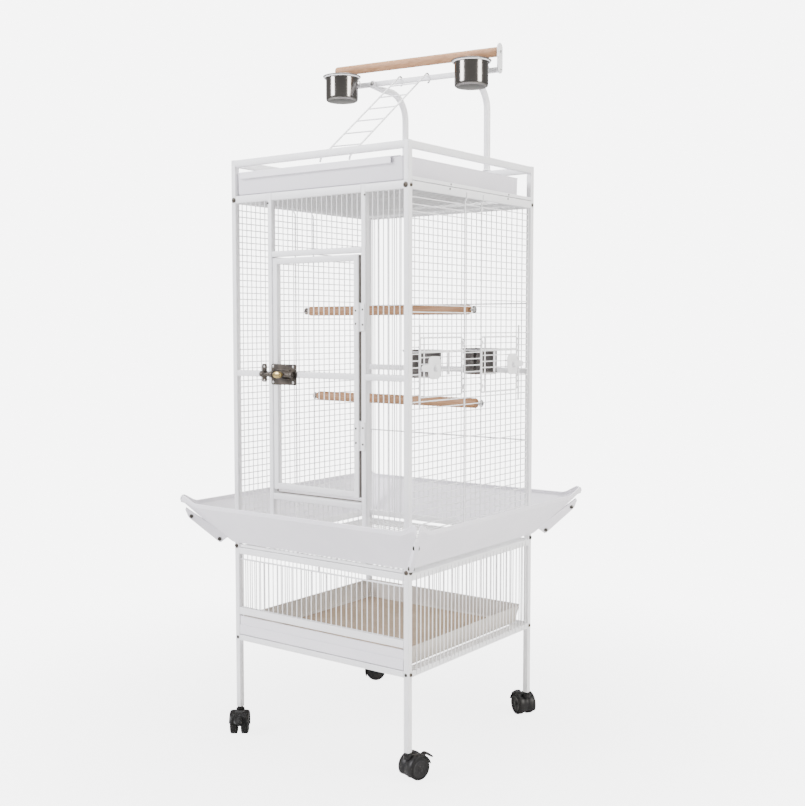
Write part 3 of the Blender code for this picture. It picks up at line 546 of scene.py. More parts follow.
def caster(name, turn, axle, along, trail):
    wheel = Piece("tread")
    outer = [(0.0165, -0.0186), (0.0178, -0.0199), (0.0212, -0.0203), (0.0236, -0.0192), (0.0245, -0.0170)]
    outer += [(0.0245, -0.0074), (0.0239, -0.0054), (0.0222, -0.0046), (0.0060, -0.0046)]
    for sign in (-1, 1):
        outline = [(r, sign * h) for r, h in [*outer, (0.0060, -0.0186)]]
        wheel.turned(outline, axle, along, 40)
    wheel.make("wheel_tread_" + name, "wheel_" + name, "caster_wheel_" + name)
    hub = Piece("plastic")
    face = [(0, -0.0205), (0.0042, -0.0203), (0.0056, -0.0193), (0.0070, -0.0186), (0.0150, -0.0187)]
    face += [(0.0170, -0.0198), (0.0186, -0.0200), (0.0186, -0.0120), (0, -0.0120)]
    for sign in (-1, 1):
        hub.turned([(r, sign * h) for r, h in face], axle, along, 40)
    hub.turned([(0, -0.013), (0.0035, -0.013), (0.0035, 0.013), (0, 0.013)], axle, along, 16)
    hub.make("wheel_hub_" + name, "wheel_" + name)

    hood = Piece("plastic")
    lobe = [(0.0252, -0.0214), (0.0262, -0.0216), (0.0275, -0.0205), (0.0285, -0.0175), (0.0289, -0.0120)]
    lobe += [(0.0285, -0.0070), (0.0276, -0.0038), (0.0270, -0.0016)]
    section = lobe + [(r, -h) for r, h in reversed(lobe)] + [(0.0256, 0.0195), (0.0256, -0.0195)]
    hood.turned(section, axle, -along, 26, 14, 207, trail)
    arc = [(0.0272, degrees) for degrees in (24, 60, 95, 130, 165, 200)]
    arc += [(0.009, degrees) for degrees in (220, -90, -45, 0)]
    web = []
    for r, degrees in arc:
        angle = radians(degrees)
        web.append((TRAIL + r * cos(angle), WHEEL + r * sin(angle)))
    hood.prism(web, -0.0032, 0.0032, lambda a, b, c: turn @ Vector((a, c, b)))
    stem = [(0, 0.0440), (0.0095, 0.0440), (0.0098, 0.0505), (0.0092, 0.0530), (0.0066, 0.0545)]
    stem += [(0.0060, 0.0577), (0, 0.0577)]
    hood.turned(stem, turn.translation, (0, 0, 1), 28)
    hood.make("caster_hood_" + name, "caster_" + name, "caster_housing_" + name)

    lever = Piece("plastic")
    path = [(0.0368, 0.0446), (0.0425, 0.0464), (0.0455, 0.0462), (0.0500, 0.0437), (0.0550, 0.0402)]
    path += [(0.0590, 0.0374), (0.0618, 0.0356)]
    sizes = [(0.0070, 0.0022), (0.0075, 0.0026), (0.0085, 0.0029), (0.0095, 0.0029), (0.0100, 0.0027)]
    sizes += [(0.0090, 0.0023), (0.0045, 0.0014)]
    lever.sweep([turn @ Vector((a, 0, b)) for a, b in path], sizes, 18, (0, 0, 1))
    lever.make("caster_lever_" + name, "brake_" + name, "caster_brake_" + name, angle=50)


# Skirt ---------------------------------
def smooth(t):
    t = min(max(t, 0.0), 1.0)
    return t * t * (3 - 2 * t)


def skirt():
    """Sloping sheets with an upright hem. Their ends rise into ears over flanges that are bolted together."""
    foot, rim = HALF + 0.0012, HALF + 0.081
    low, edge, lift, hem, ear = 0.438, 0.530, 0.019, 0.0075, 0.011
    fins = Piece("sheet")
    screws = Piece("dark")
    columns = [copysign(1 - (1 - abs(k / 24)) ** 1.7, k) for k in range(-24, 25)]
    rows = [0, 0.05, 0.2, 0.4, 0.6, 0.75, 0.86, 0.92, 0.925, 0.95, 0.98, 1.0]
    for name, turns in (("front", 0), ("right", 1), ("back", 2), ("left", 3)):
        turn = Matrix.Rotation(turns * pi / 2, 4, "Z")

        def at(s, v, out=0.0):
            t = min(v / 0.92, 1.0)
            half = foot - 0.0016 + (rim - foot) * t
            near = half * (1 - abs(s))
            rise = smooth(1 - near / 0.042) * v**2.2 if v > 0 else 0
            x = copysign(half * abs(s) + 0.0030 * rise, s)
            y = -(foot + (rim - foot) * t) - 0.0055 * rise - out
            z = low + (edge - hem - low) * t + hem * max(v - 0.92, 0) / 0.08 + lift * rise
            if v > 0.86 and near < ear:
                z -= (ear - sqrt(max(ear**2 - (ear - near) ** 2, 0))) * (v - 0.86) / 0.14
            y += 0.0012 * sin(pi * t) * cos(s * pi / 2)
            return turn @ Vector((x, y, z))

        sheet = Piece("sheet")
        skin = []
        for s in columns:
            skin.append([at(s, v, -0.0005) for v in rows] + [at(s, v, 0.0005) for v in reversed(rows)])
        sheet.rings(skin)
        sheet.sweep([at(s, 1.0) for s in columns], 0.0017, 8)
        for side in (-1, 1):
            sheet.sweep([at(side, v) for v in (0.02, 0.2, 0.4, 0.6, 0.75, 0.86, 0.92, 0.96)], 0.0010, 8)
        sheet.make("skirt_sheet_" + name, "cage", "skirt_" + name)

        corner = turn @ Matrix.Rotation(pi / 4, 4, "Z")
        reach, climb = (rim - foot) * sqrt(2), edge - hem - low
        long = hypot(reach, climb)

        def beside(v, depth):
            """How far out and how high: at a share of the way up the slope, and a depth under the sheet."""
            out = foot * sqrt(2) + reach * v + climb / long * depth
            return out, low + climb * v - reach / long * depth

        shape = [(0.13, -0.0025), (0.17, 0.017), (0.20, 0.0185), (0.80, 0.0130), (0.84, 0.0115)]
        shape += [(0.94, 0.0030), (0.95, -0.0020)]
        outline = [beside(*p) for p in shape]
        fins.prism(outline, -0.0040, 0.0040, lambda r, z, w: corner @ Vector((w, -r, z)))
        for v, depth in ((0.22, 0.0125), (0.80, 0.0072)):
            r, z = beside(v, depth)
            for side in (-1, 1):
                axis = (corner.to_3x3() @ Vector((side, 0, 0))).normalized()
                screws.head(corner @ Vector((side * 0.0039, -r, z)), axis, 0.0046, 0.0030)
    fins.make("skirt_flanges", "cage")
    screws.make("skirt_screws", "cage")


# Cage ----------------------------------
def cage_left():
    left = Piece("coat")
    for face in (-1, 1):
        post(left, -1, face, BODY)
    for rail in (BODY_LOW, BODY_TOP):
        side_bar(left, -1, (-INNER - 0.004, INNER + 0.004), rail)
    side_wires(left, -1, (-INNER, INNER), (BODY_LOW[1], BODY_TOP[0]))
    for y in (-0.038, 0.027):
        stiffener(left, -1, y)
    left.make("cage_left", "cage", "left_panel")


def side_wires(piece, sign, ys, zs):
    for z in places(*zs):
        piece.wire((sign * MID, ys[0], z), (sign * MID, ys[1], z))


def stiffener(piece, side, y):
    """An upright rod outside the level wires, whose ends are bent out over the rails."""
    line = MID + WIRE + 0.0015
    out = HALF + 0.0012
    path = [
        (side * out, y, BODY_LOW[0] + 0.006),
        (side * out, y, BODY_LOW[1] + 0.001),
        (side * line, y, BODY_LOW[1] + 0.007),
        (side * line, y, BODY_TOP[0] - 0.007),
        (side * out, y, BODY_TOP[0] - 0.001),
        (side * out, y, BODY_TOP[1] - 0.006),
    ]
    piece.sweep(bend(path, 0.003, 3), 0.0017, 10, (0, 1, 0))


def cage_right():
    end = INNER - GAP
    lower = Piece("coat")
    side_bar(lower, 1, (-end, end), BODY_LOW)
    upper = Piece("coat")
    side_bar(upper, 1, (-end, end), BODY_TOP)
    middle = Piece("coat")
    rods = [-0.2020, -0.038, 0.027, 0.1870]
    for y in (-end + 0.0015, end - 0.0015):
        lower.wire((MID, y, BODY_LOW[1]), (MID, y, 0.7717), 0.0014)
        middle.wire((MID, y, 0.7720), (MID, y, 0.9140), 0.0014)
        upper.wire((MID, y, 0.9143), (MID, y, BODY_TOP[0]), 0.0014)
    side_wires(lower, 1, (-end + 0.002, end - 0.002), (BODY_LOW[1], 0.7735))
    side_wires(upper, 1, (-end + 0.002, end - 0.002), (0.9125, BODY_TOP[0]))
    for z in (0.7735, 0.9125):
        middle.wire((MID, -end, z), (MID, end, z), 0.0015)
    for z in places(0.7735, 0.9125):
        for ys in ((-end + 0.002, rods[0]), (rods[1], rods[2]), (rods[3], end - 0.002)):
            middle.wire((MID, ys[0], z), (MID, ys[1], z))
    for y in (rods[1], rods[2]):
        stiffener(upper, 1, y)
    for y in (rods[0], rods[3]):
        x = MID + WIRE + 0.0012
        middle.sweep([(x, y, 0.7580), (x, y, 0.9300)], 0.0019, 10)
    lower.make("cage_right_lower", "cage", "right_panel_lower")
    upper.make("cage_right_upper", "cage", "right_panel_upper")
    middle.make("cage_right_middle", "cage", "right_panel_front", "right_panel_centre", "right_panel_back")


def cage_back():
    back = Piece("coat")
    post(back, 1, 1, BODY)
    for rail in (BODY_LOW, BODY_MID, BODY_TOP):
        face_bar(back, 1, (-INNER + GAP, INNER + 0.004), rail)
    face_wires(back, 1, (-INNER, INNER), (BODY_LOW[1], BODY_MID[0]))
    face_wires(back, 1, (-INNER, INNER), (BODY_MID[1], BODY_TOP[0]))
    for z in (0.660, 0.980):
        back.wire((-INNER + GAP, MID + WIRE + 0.0012, z), (INNER, MID + WIRE + 0.0012, z), 0.0017)
    back.make("cage_back", "cage", "back_panel")


def cage_front():
    left = Piece("coat")
    face_bar(left, -1, (-MULLION[1], -MULLION[0]), BODY, 0)
    right = Piece("coat")
    post(right, 1, -1, BODY)
    face_bar(right, -1, MULLION, BODY, 0)
    for rail in (BODY_LOW, BODY_MID, BODY_TOP):
        face_bar(left, -1, (-INNER + GAP, -MULLION[0] - 0.004), rail)
        face_bar(right, -1, (MULLION[0] + 0.004, INNER + 0.004), rail)
    for zs in ((BODY_LOW[1], BODY_MID[0]), (BODY_MID[1], BODY_TOP[0])):
        face_wires(left, -1, (-INNER, -MULLION[1]), zs)
        face_wires(right, -1, (MULLION[1], INNER), zs)
    # Dark strips behind the door gap are painted shadow, standing in for the deep shade seen through the gap.
    gap_shadow = Piece("under")
    for x0, x1, z0, z1 in (
        (0.1180, 0.1238, 0.5630, 1.0750),
        (-0.1238, -0.1206, 0.5630, 1.0750),
        (-0.1206, 0.1180, 0.5608, 0.5636),
    ):
        gap_shadow.bar((x0, -0.2328, z0), (x1, -0.2312, z1), None, 0.0004)
    gap_shadow.make("door_gap_painted_shadow", "cage")
    left.make("cage_front_left", "cage", "front_panel_left")
    right.make("cage_front_right", "cage", "front_panel_right")
    span = (-MULLION[0] + GAP, MULLION[0] - GAP)
    for name, low, high in (("top", HEAD, BODY_TOP), ("bottom", BODY_LOW, SILL)):
        panel = Piece("coat")
        face_bar(panel, -1, span, low)
        face_bar(panel, -1, span, high)
        face_wires(panel, -1, span, (low[1], high[0]))
        panel.make("cage_front_" + name, "cage", "front_panel_" + name)


def roof():
    grille = Piece("coat")
    reach = INNER - GAP
    for y in (-reach + 0.0022, reach - 0.0022):
        grille.wire((-reach, y, 1.2035), (reach, y, 1.2035), 0.0022)
    for x in (-reach + 0.0022, reach - 0.0022):
        grille.wire((x, -reach, 1.2035), (x, reach, 1.2035), 0.0022)
    for x in places(-reach, reach):
        grille.wire((x, -reach + 0.002, 1.2034), (x, reach - 0.002, 1.2034))
    for y in (-0.078, 0.078):
        grille.wire((-reach, y, 1.2056), (reach, y, 1.2056), 0.0016)
    grille.make("roof_wires", "cage", "roof_grille")


def perches():
    for name, y, z in (("upper", 0.0, 0.963), ("lower", 0.030, 0.758)):
        perch = dowel(Piece("wood"), (0, y, z), (1, 0, 0), 0.2298)
        perch.make("perch_" + name + "_dowel", "cage", "perch_" + name)
        bolts = Piece("zinc")
        for side in (-1, 1):
            centre = (side * 0.2300, y, z)
            axis = (side, 0, 0)
            washer = [(0.0030, 0.0098), (0.0085, 0.0098), (0.0085, 0.0110), (0.0030, 0.0110)]
            bolts.turned(washer, centre, axis, 24)
            bolts.turned([(0, -0.004), (0.0026, -0.004), (0.0026, 0.0155), (0, 0.0155)], centre, axis, 12)
            nut = [(0, 0.0110), (0.0050, 0.0110), (0.0044, 0.0150), (0, 0.0150)]
            bolts.turned(nut, centre, axis, 6)
        bolts.make("perch_" + name + "_bolts", "cage")


def dowel(piece, centre, axis, half, radius=0.011):
    """A rod that is very slightly uneven along its length, with rounded ends."""
    ends = [(0, -half), (0.004, -half), (0.0085, -half + 0.0004), (0.0100, -half + 0.0014)]
    ends.append((radius, -half + 0.0038))
    outline = list(ends)
    steps = 24
    for k in range(1, steps):
        height = -half + 0.0038 + (2 * half - 0.0076) * k / steps
        outline.append((radius + 0.00012 * sin(k * 1.9) + 0.00008 * sin(k * 4.3), height))
    outline += [(r, -h) for r, h in reversed(ends)]
    return piece.turned(outline, centre, axis, 28)


# Main door -----------------------------
def main_door():
    xs, zs, ys = (-0.122, 0.1165), (0.571, 1.074), (-0.2445, -0.2322)
    door = Piece("coat")
    for x in (xs[0], xs[1] - TUBE):
        door.bar((x, ys[0], zs[0]), (x + TUBE, ys[1], zs[1]))
    inside = (xs[0] + TUBE, xs[1] - TUBE)
    rails = ((zs[0] + 0.0002, zs[0] + TUBE), BODY_MID, (zs[1] - TUBE, zs[1] - 0.0002))
    for low, high in rails:
        door.bar((inside[0] - 0.004, ys[0] + 0.0002, low), (inside[1] + 0.004, ys[1] - 0.0002, high))
    for low, high in ((rails[0][1], rails[1][0]), (rails[1][1], rails[2][0])):
        for x in places(*inside):
            door.wire((x, -MID, low), (x, -MID, high))
    spans = ((0.670, 0.732), (0.916, 0.975))
    for low, high in spans:
        door.plate((0.1045, -0.2462, low + 0.004), (0.1165, -0.2440, high - 0.004), 1, 0.003)
    door.make("door_frame", "main_door", "main_door")
    # A dark strip on the door's hinge-side face is painted shadow for the shade inside the gap.
    strip = Piece("under")
    ends = [zs[0] + 0.001, *spans[0], *spans[1], zs[1] - 0.001]
    for low, high in zip(ends[::2], ends[1::2]):
        strip.bar((xs[1] - 0.0004, ys[0] + 0.0018, low), (xs[1] + 0.0008, ys[1] - 0.0018, high), None, 0.0004)
    strip.make("door_edge_painted_shadow", "main_door")

    for name, (low, high) in zip(("lower", "upper"), spans):
        hinge = Piece("coat")
        third = (high - low) / 3
        for k, radius in ((0, 0.0031), (1, 0.0028), (2, 0.0031)):
            a, b = low + third * k + 0.0003, low + third * (k + 1) - 0.0003
            tube = [(0, a), (radius - 0.0006, a), (radius, a + 0.0006)]
            tube += [(radius, b - 0.0006), (radius - 0.0006, b), (0, b)]
            hinge.turned(tube, (*HINGE, 0), (0, 0, 1), 20)
        pin = [(0, low - 0.001), (0.0016, low - 0.001), (0.0016, high + 0.001), (0, high + 0.001)]
        hinge.turned(pin, (*HINGE, 0))
        hinge.plate((0.1195, -0.2472, low + 0.001), (0.1338, -0.2452, high - 0.001), 1, 0.003)
        hinge.make("hinge_" + name, "cage")
        spots = [(0.1295, -0.2472, z) for z in (low + 0.014, high - 0.014)]
        screw_heads("hinge_rivets_" + name, "cage", "dark", spots, 0.0022, 0.0008)
        spots = [(0.1105, -0.2462, z) for z in (low + 0.016, high - 0.016)]
        screw_heads("hinge_door_rivets_" + name, "main_door", "dark", spots, 0.0022, 0.0008)
    bolt()


def strap_over(piece, xs, radius, back):
    """A strap bent over the bolt, with a foot above and below."""
    thick = 0.0009
    path = [(0, back, -0.0115), (0, back, -radius - 0.0012)]
    for k in range(9):
        angle = radians(-90 + 180 * k / 8)
        path.append((0, BOLT_Y - (radius + thick) * cos(angle), (radius + thick) * sin(angle)))
    path += [(0, back, radius + 0.0012), (0, back, 0.0115)]
    middle = (xs[0] + xs[1]) / 2
    path = [(middle, y, BOLT_Z + z) for _, y, z in path]
    piece.sweep(path, [((xs[1] - xs[0]) / 2, thick)] * len(path), 12, (0, -1, 0))


def bolt():
    plate = Piece("bronze")
    x0, x1 = -0.126, -0.053
    plate.prism(rounded(x0, 0.800, x1, 0.845, 0.004, 4), -0.2470, -0.2453, on_front)
    plate.prism(rounded(x0 + 0.003, 0.803, x1 - 0.003, 0.842, 0.003, 4), -0.2474, -0.2465, on_front)
    for x in (x0 + 0.002, x1 - 0.013):
        strap_over(plate, (x, x + 0.0085), 0.0052, -0.2478)
    for z in (-0.0095, 0.0095):
        low, high = BOLT_Z + z - 0.0012, BOLT_Z + z + 0.0012
        plate.bar((-0.108, -0.2496, low), (-0.070, -0.2470, high), None, 0.001)
    plate.make("bolt_back_plate", "main_door", "bolt_plate")
    spots = [(x, -0.2474, z) for x in (x0 + 0.0062, x1 - 0.0087) for z in (0.8055, 0.8395)]
    screw_heads("bolt_plate_screws", "main_door", "zinc", spots, 0.0030, 0.0013)

    stub = -0.090
    profile = ((0.55, 0.0), (0.90, 0.0015), (1.0, 0.0045), (1.0, 0.0085), (0.90, 0.0115), (0.60, 0.0130))
    rings = []
    for share, depth in profile:
        oval = [(share * 0.0115 * cos(t), share * 0.0075 * sin(t)) for t in angles(28)]
        rings.append([(stub + x, -0.2590 - depth, BOLT_Z + z) for x, z in oval])
    Piece("brass").rings(rings).make("bolt_knob", "door_bolt")
    rod = Piece("bronze")
    shaft = [(0, -0.1385), (0.0030, -0.1385), (0.0045, -0.1368), (0.0045, -0.0590)]
    shaft += [(0.0036, -0.0580), (0, -0.0580)]
    rod.turned(shaft, (0, BOLT_Y, BOLT_Z), (1, 0, 0), 28)
    neck = [(0, 0.0), (0.0026, 0.0), (0.0026, 0.0085), (0, 0.0085)]
    rod.turned(neck, (stub, BOLT_Y, BOLT_Z), (0, -1, 0), 16)
    rod.make("bolt_rod", "door_bolt", "door_bolt")

    keeper = Piece("bronze")
    keeper.prism(rounded(-0.154, 0.805, -0.140, 0.845, 0.003, 4), -0.2466, -0.2451, on_front)
    strap_over(keeper, (-0.1515, -0.1425), 0.0052, -0.2474)
    keeper.make("bolt_catch", "cage", "bolt_keeper")
    spots = [(-0.147, -0.2466, z) for z in (0.8088, 0.8385)]
    screw_heads("bolt_catch_screws", "cage", "zinc", spots, 0.0026, 0.0012)


# Feeders -------------------------------
def cup(name, x, y, rim):
    """A spun steel cup with a rolled rim."""
    foot = rim - 0.058
    lip = [(0.0380, rim - 0.0062), (0.0383, rim - 0.0030), (0.0392, rim - 0.0016), (0.0412, rim - 0.0013)]
    lip += [(0.0436, rim - 0.0014), (0.0446, rim - 0.0011), (0.0450, rim - 0.0004), (0.0447, rim + 0.0002)]
    lip += [(0.0438, rim + 0.0004), (0.0412, rim), (0.0386, rim - 0.0004), (0.0374, rim - 0.0022)]
    lip += [(0.0370, rim - 0.0060)]
    outline = [(0, foot + 0.0008), (0.030, foot + 0.0008), (0.0325, foot), (0.0345, foot + 0.0002)]
    outline += [(0.0368, foot + 0.0018), (0.0378, foot + 0.0048), (0.0380, foot + 0.0100)]
    outline += lip
    outline += [(0.0370, foot + 0.0100), (0.0366, foot + 0.0056), (0.0352, foot + 0.0030)]
    outline += [(0.0325, foot + 0.0018), (0, foot + 0.0018)]
    Piece("steel").turned(outline, (x, y, 0), (0, 0, 1), 64).make(name + "_bowl", name, name)


def feeders():
    top = CUP_RIM - 0.0015
    for place, (hinge, free, cup_y, latch_y) in FEEDERS.items():
        body = "feeder_door_" + place
        outward = copysign(1, free)
        first, last = sorted((hinge + outward * 0.0032, free - outward * 0.002))
        low, high = 0.7825, 0.9035
        door = Piece("coat")
        half = (low + high) / 2
        edge = [(MID, first, half), (MID, first, low), (MID, last, low), (MID, last, high)]
        path = bend([*edge, (MID, first, high), (MID, first, half + 0.001)], 0.004, 4)
        door.sweep(path[:-1], 0.0019, 10, (1, 0, 0), True)
        for z in places(low, high):
            door.wire((MID, first, z), (MID, last, z))
        door.wire((MID, first, top - 0.0018), (MID, last, top - 0.0018), 0.0018)
        door.loop((CUP_X, cup_y, top - 0.0016), CUP_RING, 0.0016)
        for y in (cup_y - 0.018, cup_y + 0.018):
            door.sweep([(0.2268, y, top - 0.0016), (MID + 0.0006, y, top - 0.0016)], 0.0015, 8)
        extra = -0.186 if place == "front" else 0.0435
        door.sweep([(MID + 0.0022, extra, low), (MID + 0.0022, extra, high)], 0.0015, 10)
        bracket = cup_y - outward * 0.021
        foot = (MID + 0.0011, bracket - 0.0028, 0.826)
        door.plate(foot, (MID + 0.0031, bracket + 0.0028, 0.872), 0, 0.0020)
        pivot = (MID + WIRE + 0.0015, hinge + outward * 0.0002, 0)
        for z in (low + 0.010, high - 0.016):
            sleeve = [(0.0020, z), (0.0032, z), (0.0032, z + 0.008), (0.0020, z + 0.008)]
            door.turned(sleeve, pivot, (0, 0, 1), 20)
        corner = (0.2395, latch_y - 0.008, LATCH_Z - 0.011)
        door.plate(corner, (HALF + 0.001, latch_y + 0.008, LATCH_Z + 0.011), 0, 0.004)
        door.make("feeder_gate_" + place, body, body)
        cup("cage_cup_" + place, CUP_X, cup_y, CUP_RIM)
        latch(place, latch_y, outward)


def latch(place, pivot, outward):
    """A dished plate with a knob, and a tongue that reaches over the upright beside the door."""
    face = HALF + 0.0013

    def at(a, b, depth):
        return Vector((depth, pivot + outward * a, LATCH_Z + b))

    rings = []
    for depth, inset in ((0.0, 0.0012), (0.0, 0.0), (0.0016, 0.0), (0.0030, 0.0016), (0.0036, 0.0050)):
        wide, tall = 0.0215 - inset, 0.0235 - inset
        outline = rounded(-wide, -tall, wide, tall, 0.0120 - inset, 6)
        rings.append([at(a, b, face + depth) for a, b in outline])
    piece = Piece("coat").rings(rings)
    tongue = [(0.015, -0.0080), (0.040, -0.0065), (0.0455, -0.0030), (0.0460, 0.0), (0.0455, 0.0030)]
    tongue += [(0.040, 0.0065), (0.015, 0.0080)]
    piece.prism(tongue, face + 0.0004, face + 0.0026, at)
    knob = [(0, 0.002), (0.0052, 0.002), (0.0050, 0.0055), (0.0068, 0.0070), (0.0072, 0.0092)]
    knob += [(0.0060, 0.0112), (0.0030, 0.0118), (0, 0.0119)]
    piece.turned(knob, (face, pivot, LATCH_Z), (1, 0, 0), 28)
    piece.make("latch_plate_" + place, "feeder_latch_" + place, "feeder_latch_" + place)


# Play top ------------------------------
def play_top():
    top = Piece("coat")
    zs = (1.279, 1.2938)
    for side in (-1, 1):
        for face in (-1, 1):
            post(top, side, face, (1.2158, 1.294))
        face_bar(top, side, (-INNER - 0.004, INNER + 0.004), zs)
        side_bar(top, side, (-INNER - 0.004, INNER + 0.004), zs)
        xs = apart(side, 0.2312, 0.2446)
        top.bar((xs[0], -INNER, 1.2162), (xs[1], INNER, 1.2172), None, 0.0004)
        xs = apart(side, 0.2436, 0.2446)
        top.bar((xs[0], -INNER, 1.2162), (xs[1], INNER, 1.2235), None, 0.0004)
    top.make("play_rails", "cage", "play_frame")
    tray = Piece("sheet")
    pan(tray, (-0.2305, -0.2425, 1.2168), (0.2305, 0.2010, 1.2640), 0.004, 0.0012, 0.006)
    tray.bar((-0.2150, -0.2480, 1.2506), (0.2020, -0.2418, 1.2518), None, 0.0005)
    tray.plate((-0.2150, -0.2480, 1.2506), (0.2020, -0.2466, 1.2650), 1, 0.0010)
    tray.bar((-0.2230, -0.2455, 1.2638), (0.2230, -0.2416, 1.2650), None, 0.0005)
    for side in (-1, 1):
        xs = apart(side, 0.2275, 0.2312)
        tray.bar((xs[0], -0.2360, 1.2632), (xs[1], 0.1950, 1.2645), None, 0.0005)
    tray.make("play_pan", "play_tray", "play_tray")
    # A dark plate under the play tray is painted shade for its shadowed underside.
    under = Piece("under").plate((-0.2230, -0.2350, 1.2165), (0.2230, 0.1940, 1.2173), 2, 0.006)
    under.make("play_pan_painted_shade", "play_tray")


def play_stand():
    cross = Piece("coat")
    reach = (-0.2165, 0.207)
    cross.bar((reach[0], -0.0055, -0.0055), (reach[1] - 0.004, 0.0055, 0.0055), ALONG_BAR, 0.0012)
    end = reach[1] - 0.0010
    cross.plate((end - 0.0030, -0.0125, -0.0085), (end, 0.0125, 0.0590), 0, 0.0115, ALONG_BAR)
    left = reach[0] + 0.003
    cross.plate((left, -0.0070, -0.0060), (left + 0.003, 0.0070, 0.0287), 0, 0.0030, ALONG_BAR)
    level = PLAY_RIM - 0.0030
    for x in PLAY_CUPS.values():
        centre = ALONG_BAR @ Vector((x, -0.060, 0))
        cross.loop((centre.x, centre.y, level), CUP_RING, 0.0016)
        for offset in (-0.018, 0.018):
            arm = [(x + offset, y, level - BAR.z) for y in (-0.0225, -0.0068)]
            path = bend([*arm, (x + offset, -0.0068, -0.004)], 0.004, 4)
            cross.sweep([ALONG_BAR @ p for p in path], 0.0015, 8)
    cross.make("play_bar", "cage", "play_crossbar")
    for place, x in PLAY_CUPS.items():
        centre = ALONG_BAR @ Vector((x, -0.060, 0))
        cup("play_cup_" + place, centre.x, centre.y, PLAY_RIM)
    half = 0.216
    middle = ALONG_BAR @ Vector((0.2030 - half, 0, 0.040))
    along = ALONG_BAR.to_3x3() @ Vector((1, 0, 0))
    dowel(Piece("wood_top"), middle, along, half).make("play_dowel", "cage", "play_perch")

    heads = Piece("zinc")
    heads.head(ALONG_BAR @ Vector((end, 0, 0.040)), along, 0.0036)
    heads.head(ALONG_BAR @ Vector((end, 0, 0.0)), along, 0.0030)
    dark = Piece("dark")
    for place, side in (("left", -1), ("right", 1)):
        x = side * 0.120
        bar_y = BAR.y + x * tan(YAW)
        level = BAR.z - 0.0085
        arc = 0.062
        path = [(x, MID, 1.2943), (x, MID, 1.310), (x, MID, level - arc)]
        for k in range(1, 11):
            angle = pi / 2 * k / 10
            path.append((x, MID - arc * (1 - cos(angle)), level - arc * (1 - sin(angle))))
        tip = [(0.036, 0.0), (0.022, 0.0), (0.012, 0.0), (0.002, 0.0), (-0.0068, 0.0006)]
        tip += [(-0.0095, 0.0040), (-0.0095, 0.0090), (-0.0092, 0.0150)]
        path += [(x, bar_y + ahead, level + up) for ahead, up in tip]
        size = [0.0078] * (len(path) - 7)
        size += [(0.0082, 0.0065), (0.0092, 0.0042), (0.0094, 0.0026), (0.0094, 0.0022)]
        size += [(0.0092, 0.0022), (0.0086, 0.0020), (0.0050, 0.0018)]
        leg = Piece("coat")
        leg.sweep(path, size, 20, (0, -1, 0))
        collar = [(0.0076, 1.2942), (0.0105, 1.2942), (0.0108, 1.2950), (0.0080, 1.2975)]
        leg.turned(collar, (x, MID, 0), (0, 0, 1), 24)
        leg.make("play_leg_" + place + "_tube", "cage", "play_leg_" + place)
        spot = Vector((x, bar_y - 0.0113, level + 0.0085))
        heads.head(spot, (0, -1, 0), 0.0036, 0.0022)
        washer = [(0.0034, -0.0003), (0.0048, -0.0003), (0.0046, 0.0010), (0.0034, 0.0010)]
        dark.turned(washer, spot, (0, -1, 0), 20)
    heads.make("play_bolts", "cage")
    dark.make("play_washers", "cage")


def ladder():
    own = ALONG_BAR @ Matrix.Rotation(radians(34.2), 4, "X")
    rails = Piece("coat")
    # The hooks over the bar are drawn in a grey metal finish, darker than the rails.
    hooks = Piece("zinc")
    height = 0.0105
    sides = (-0.0515, 0.0205)
    for x in sides:
        path = []
        for k in range(11):
            angle = radians(200 - 200 * k / 10)
            path.append(own @ Vector((x, height * sin(angle), height * cos(angle))))
        hooks.sweep(path, 0.0019, 10)
        foot = [(x, 0.001, height), (x, -0.415, height), (x, -0.4225, height - 0.005)]
        rails.sweep([own @ p for p in bend(foot, 0.004, 4)], 0.0020, 10)
    for k in range(6):
        y = -0.052 - 0.062 * k
        rails.wire(*[own @ Vector((x, y, height)) for x in sides], 0.0016)
    rails.make("ladder_rails", "ladder", "ladder")
    hooks.make("ladder_hooks", "ladder")


# Room ----------------------------------
def seen_only(tree, plain):
    """Mixes in an even glow that only the camera sees, so that the backdrop is pale and lights nothing."""
    glow = tree.nodes.new("ShaderNodeEmission")
    glow.inputs["Color"].default_value = (1, 1, 1, 1)
    glow.inputs["Strength"].default_value = BACKDROP
    ray = tree.nodes.new("ShaderNodeLightPath")
    mix = tree.nodes.new("ShaderNodeMixShader")
    link(tree, ray.outputs["Is Camera Ray"], mix.inputs["Fac"])
    link(tree, plain, mix.inputs[1])
    link(tree, glow.outputs["Emission"], mix.inputs[2])
    return mix, ray


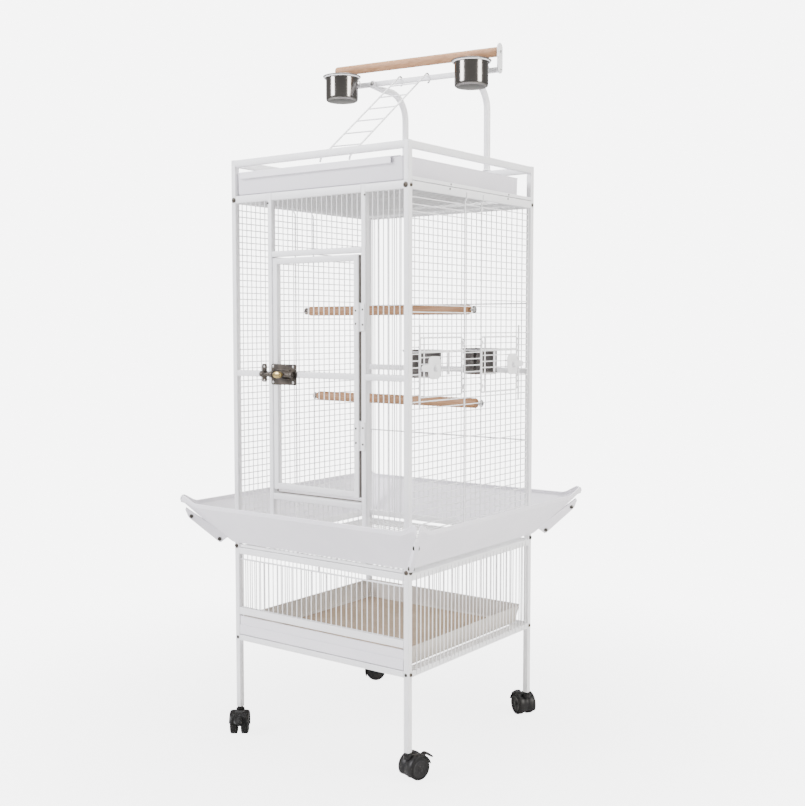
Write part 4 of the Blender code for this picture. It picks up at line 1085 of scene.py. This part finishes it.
def backdrop():
    """A pale floor that fades into an equally pale distance, so that no horizon shows."""
    pale, paler = (0.78, 0.78, 0.78), (0.80, 0.80, 0.80)
    finish = material("floor", pale, paler, (0.8, 0.9), bump=0.02, grain=40, patch=0.5)
    tree = finish.node_tree
    mix, ray = seen_only(tree, tree.nodes["Principled BSDF"].outputs["BSDF"])
    place = tree.nodes.new("ShaderNodeTexCoord")
    length = tree.nodes.new("ShaderNodeVectorMath")
    length.operation = "LENGTH"
    link(tree, place.outputs["Object"], length.inputs[0])
    fade = tree.nodes.new("ShaderNodeMapRange")
    fade.interpolation_type = "SMOOTHSTEP"
    fade.inputs["From Min"].default_value = 0.25
    fade.inputs["From Max"].default_value = 1.6
    fade.inputs["To Min"].default_value = 0.62
    link(tree, length.outputs["Value"], fade.inputs["Value"])
    share = tree.nodes.new("ShaderNodeMath")
    share.operation = "MULTIPLY"
    link(tree, ray.outputs["Is Camera Ray"], share.inputs[0])
    link(tree, fade.outputs["Result"], share.inputs[1])
    link(tree, share.outputs["Value"], mix.inputs["Fac"])
    link(tree, mix.outputs["Shader"], tree.nodes["Material Output"].inputs["Surface"])
    ground = bpy.data.meshes.new("ground")
    far = 30.0
    ground.from_pydata([(-far, -far, 0), (far, -far, 0), (far, far, 0), (-far, far, 0)], [], [(0, 1, 2, 3)])
    ground.materials.append(finish)
    put("floor", ground)


def room():
    backdrop()
    world = bpy.data.worlds.new("studio")
    world.use_nodes = True
    tree = world.node_tree
    lit = tree.nodes["Background"]
    lit.inputs["Color"].default_value = (1.0, 0.985, 0.96, 1)
    lit.inputs["Strength"].default_value = 0.52
    mix, _ = seen_only(tree, lit.outputs["Background"])
    link(tree, mix.outputs["Shader"], tree.nodes["World Output"].inputs["Surface"])
    bpy.context.scene.world = world
    for name, spot, target, size, power, colour in (
        ("key", (-2.0, -3.2, 2.6), (0, 0, 0.8), 1.8, 320, (0.965, 0.96, 1.0)),
        ("side", (3.4, 0.2, 2.0), (0, 0, 0.8), 1.4, 170, (1.0, 0.975, 0.935)),
        ("top", (0.2, 0.2, 4.4), (0, 0, 0.5), 2.6, 300, (1.0, 1.0, 1.0)),
    ):
        lamp = bpy.data.lights.new(name, "AREA")
        lamp.size = size
        lamp.energy = power
        lamp.color = colour
        light = put(name, lamp)
        light.location = spot
        light.rotation_mode = "QUATERNION"
        light.rotation_quaternion = (Vector(target) - Vector(spot)).to_track_quat("-Z", "Y")


def camera():
    lens = bpy.data.cameras.new("camera")
    lens.sensor_width = 36.0
    lens.lens = 50.3
    view = put("camera", lens)
    view.location = (1.571, -2.051, 0.927)
    view.rotation_euler = (radians(90 - 3.9), 0, radians(36.6))
    bpy.context.scene.camera = view


stand()
hardware()
dropping_tray()
floor_grate()
casters()
skirt()
cage_left()
cage_right()
cage_back()
cage_front()
roof()
perches()
main_door()
feeders()
play_top()
play_stand()
ladder()
room()
camera()
bpy.context.view_layer.update()
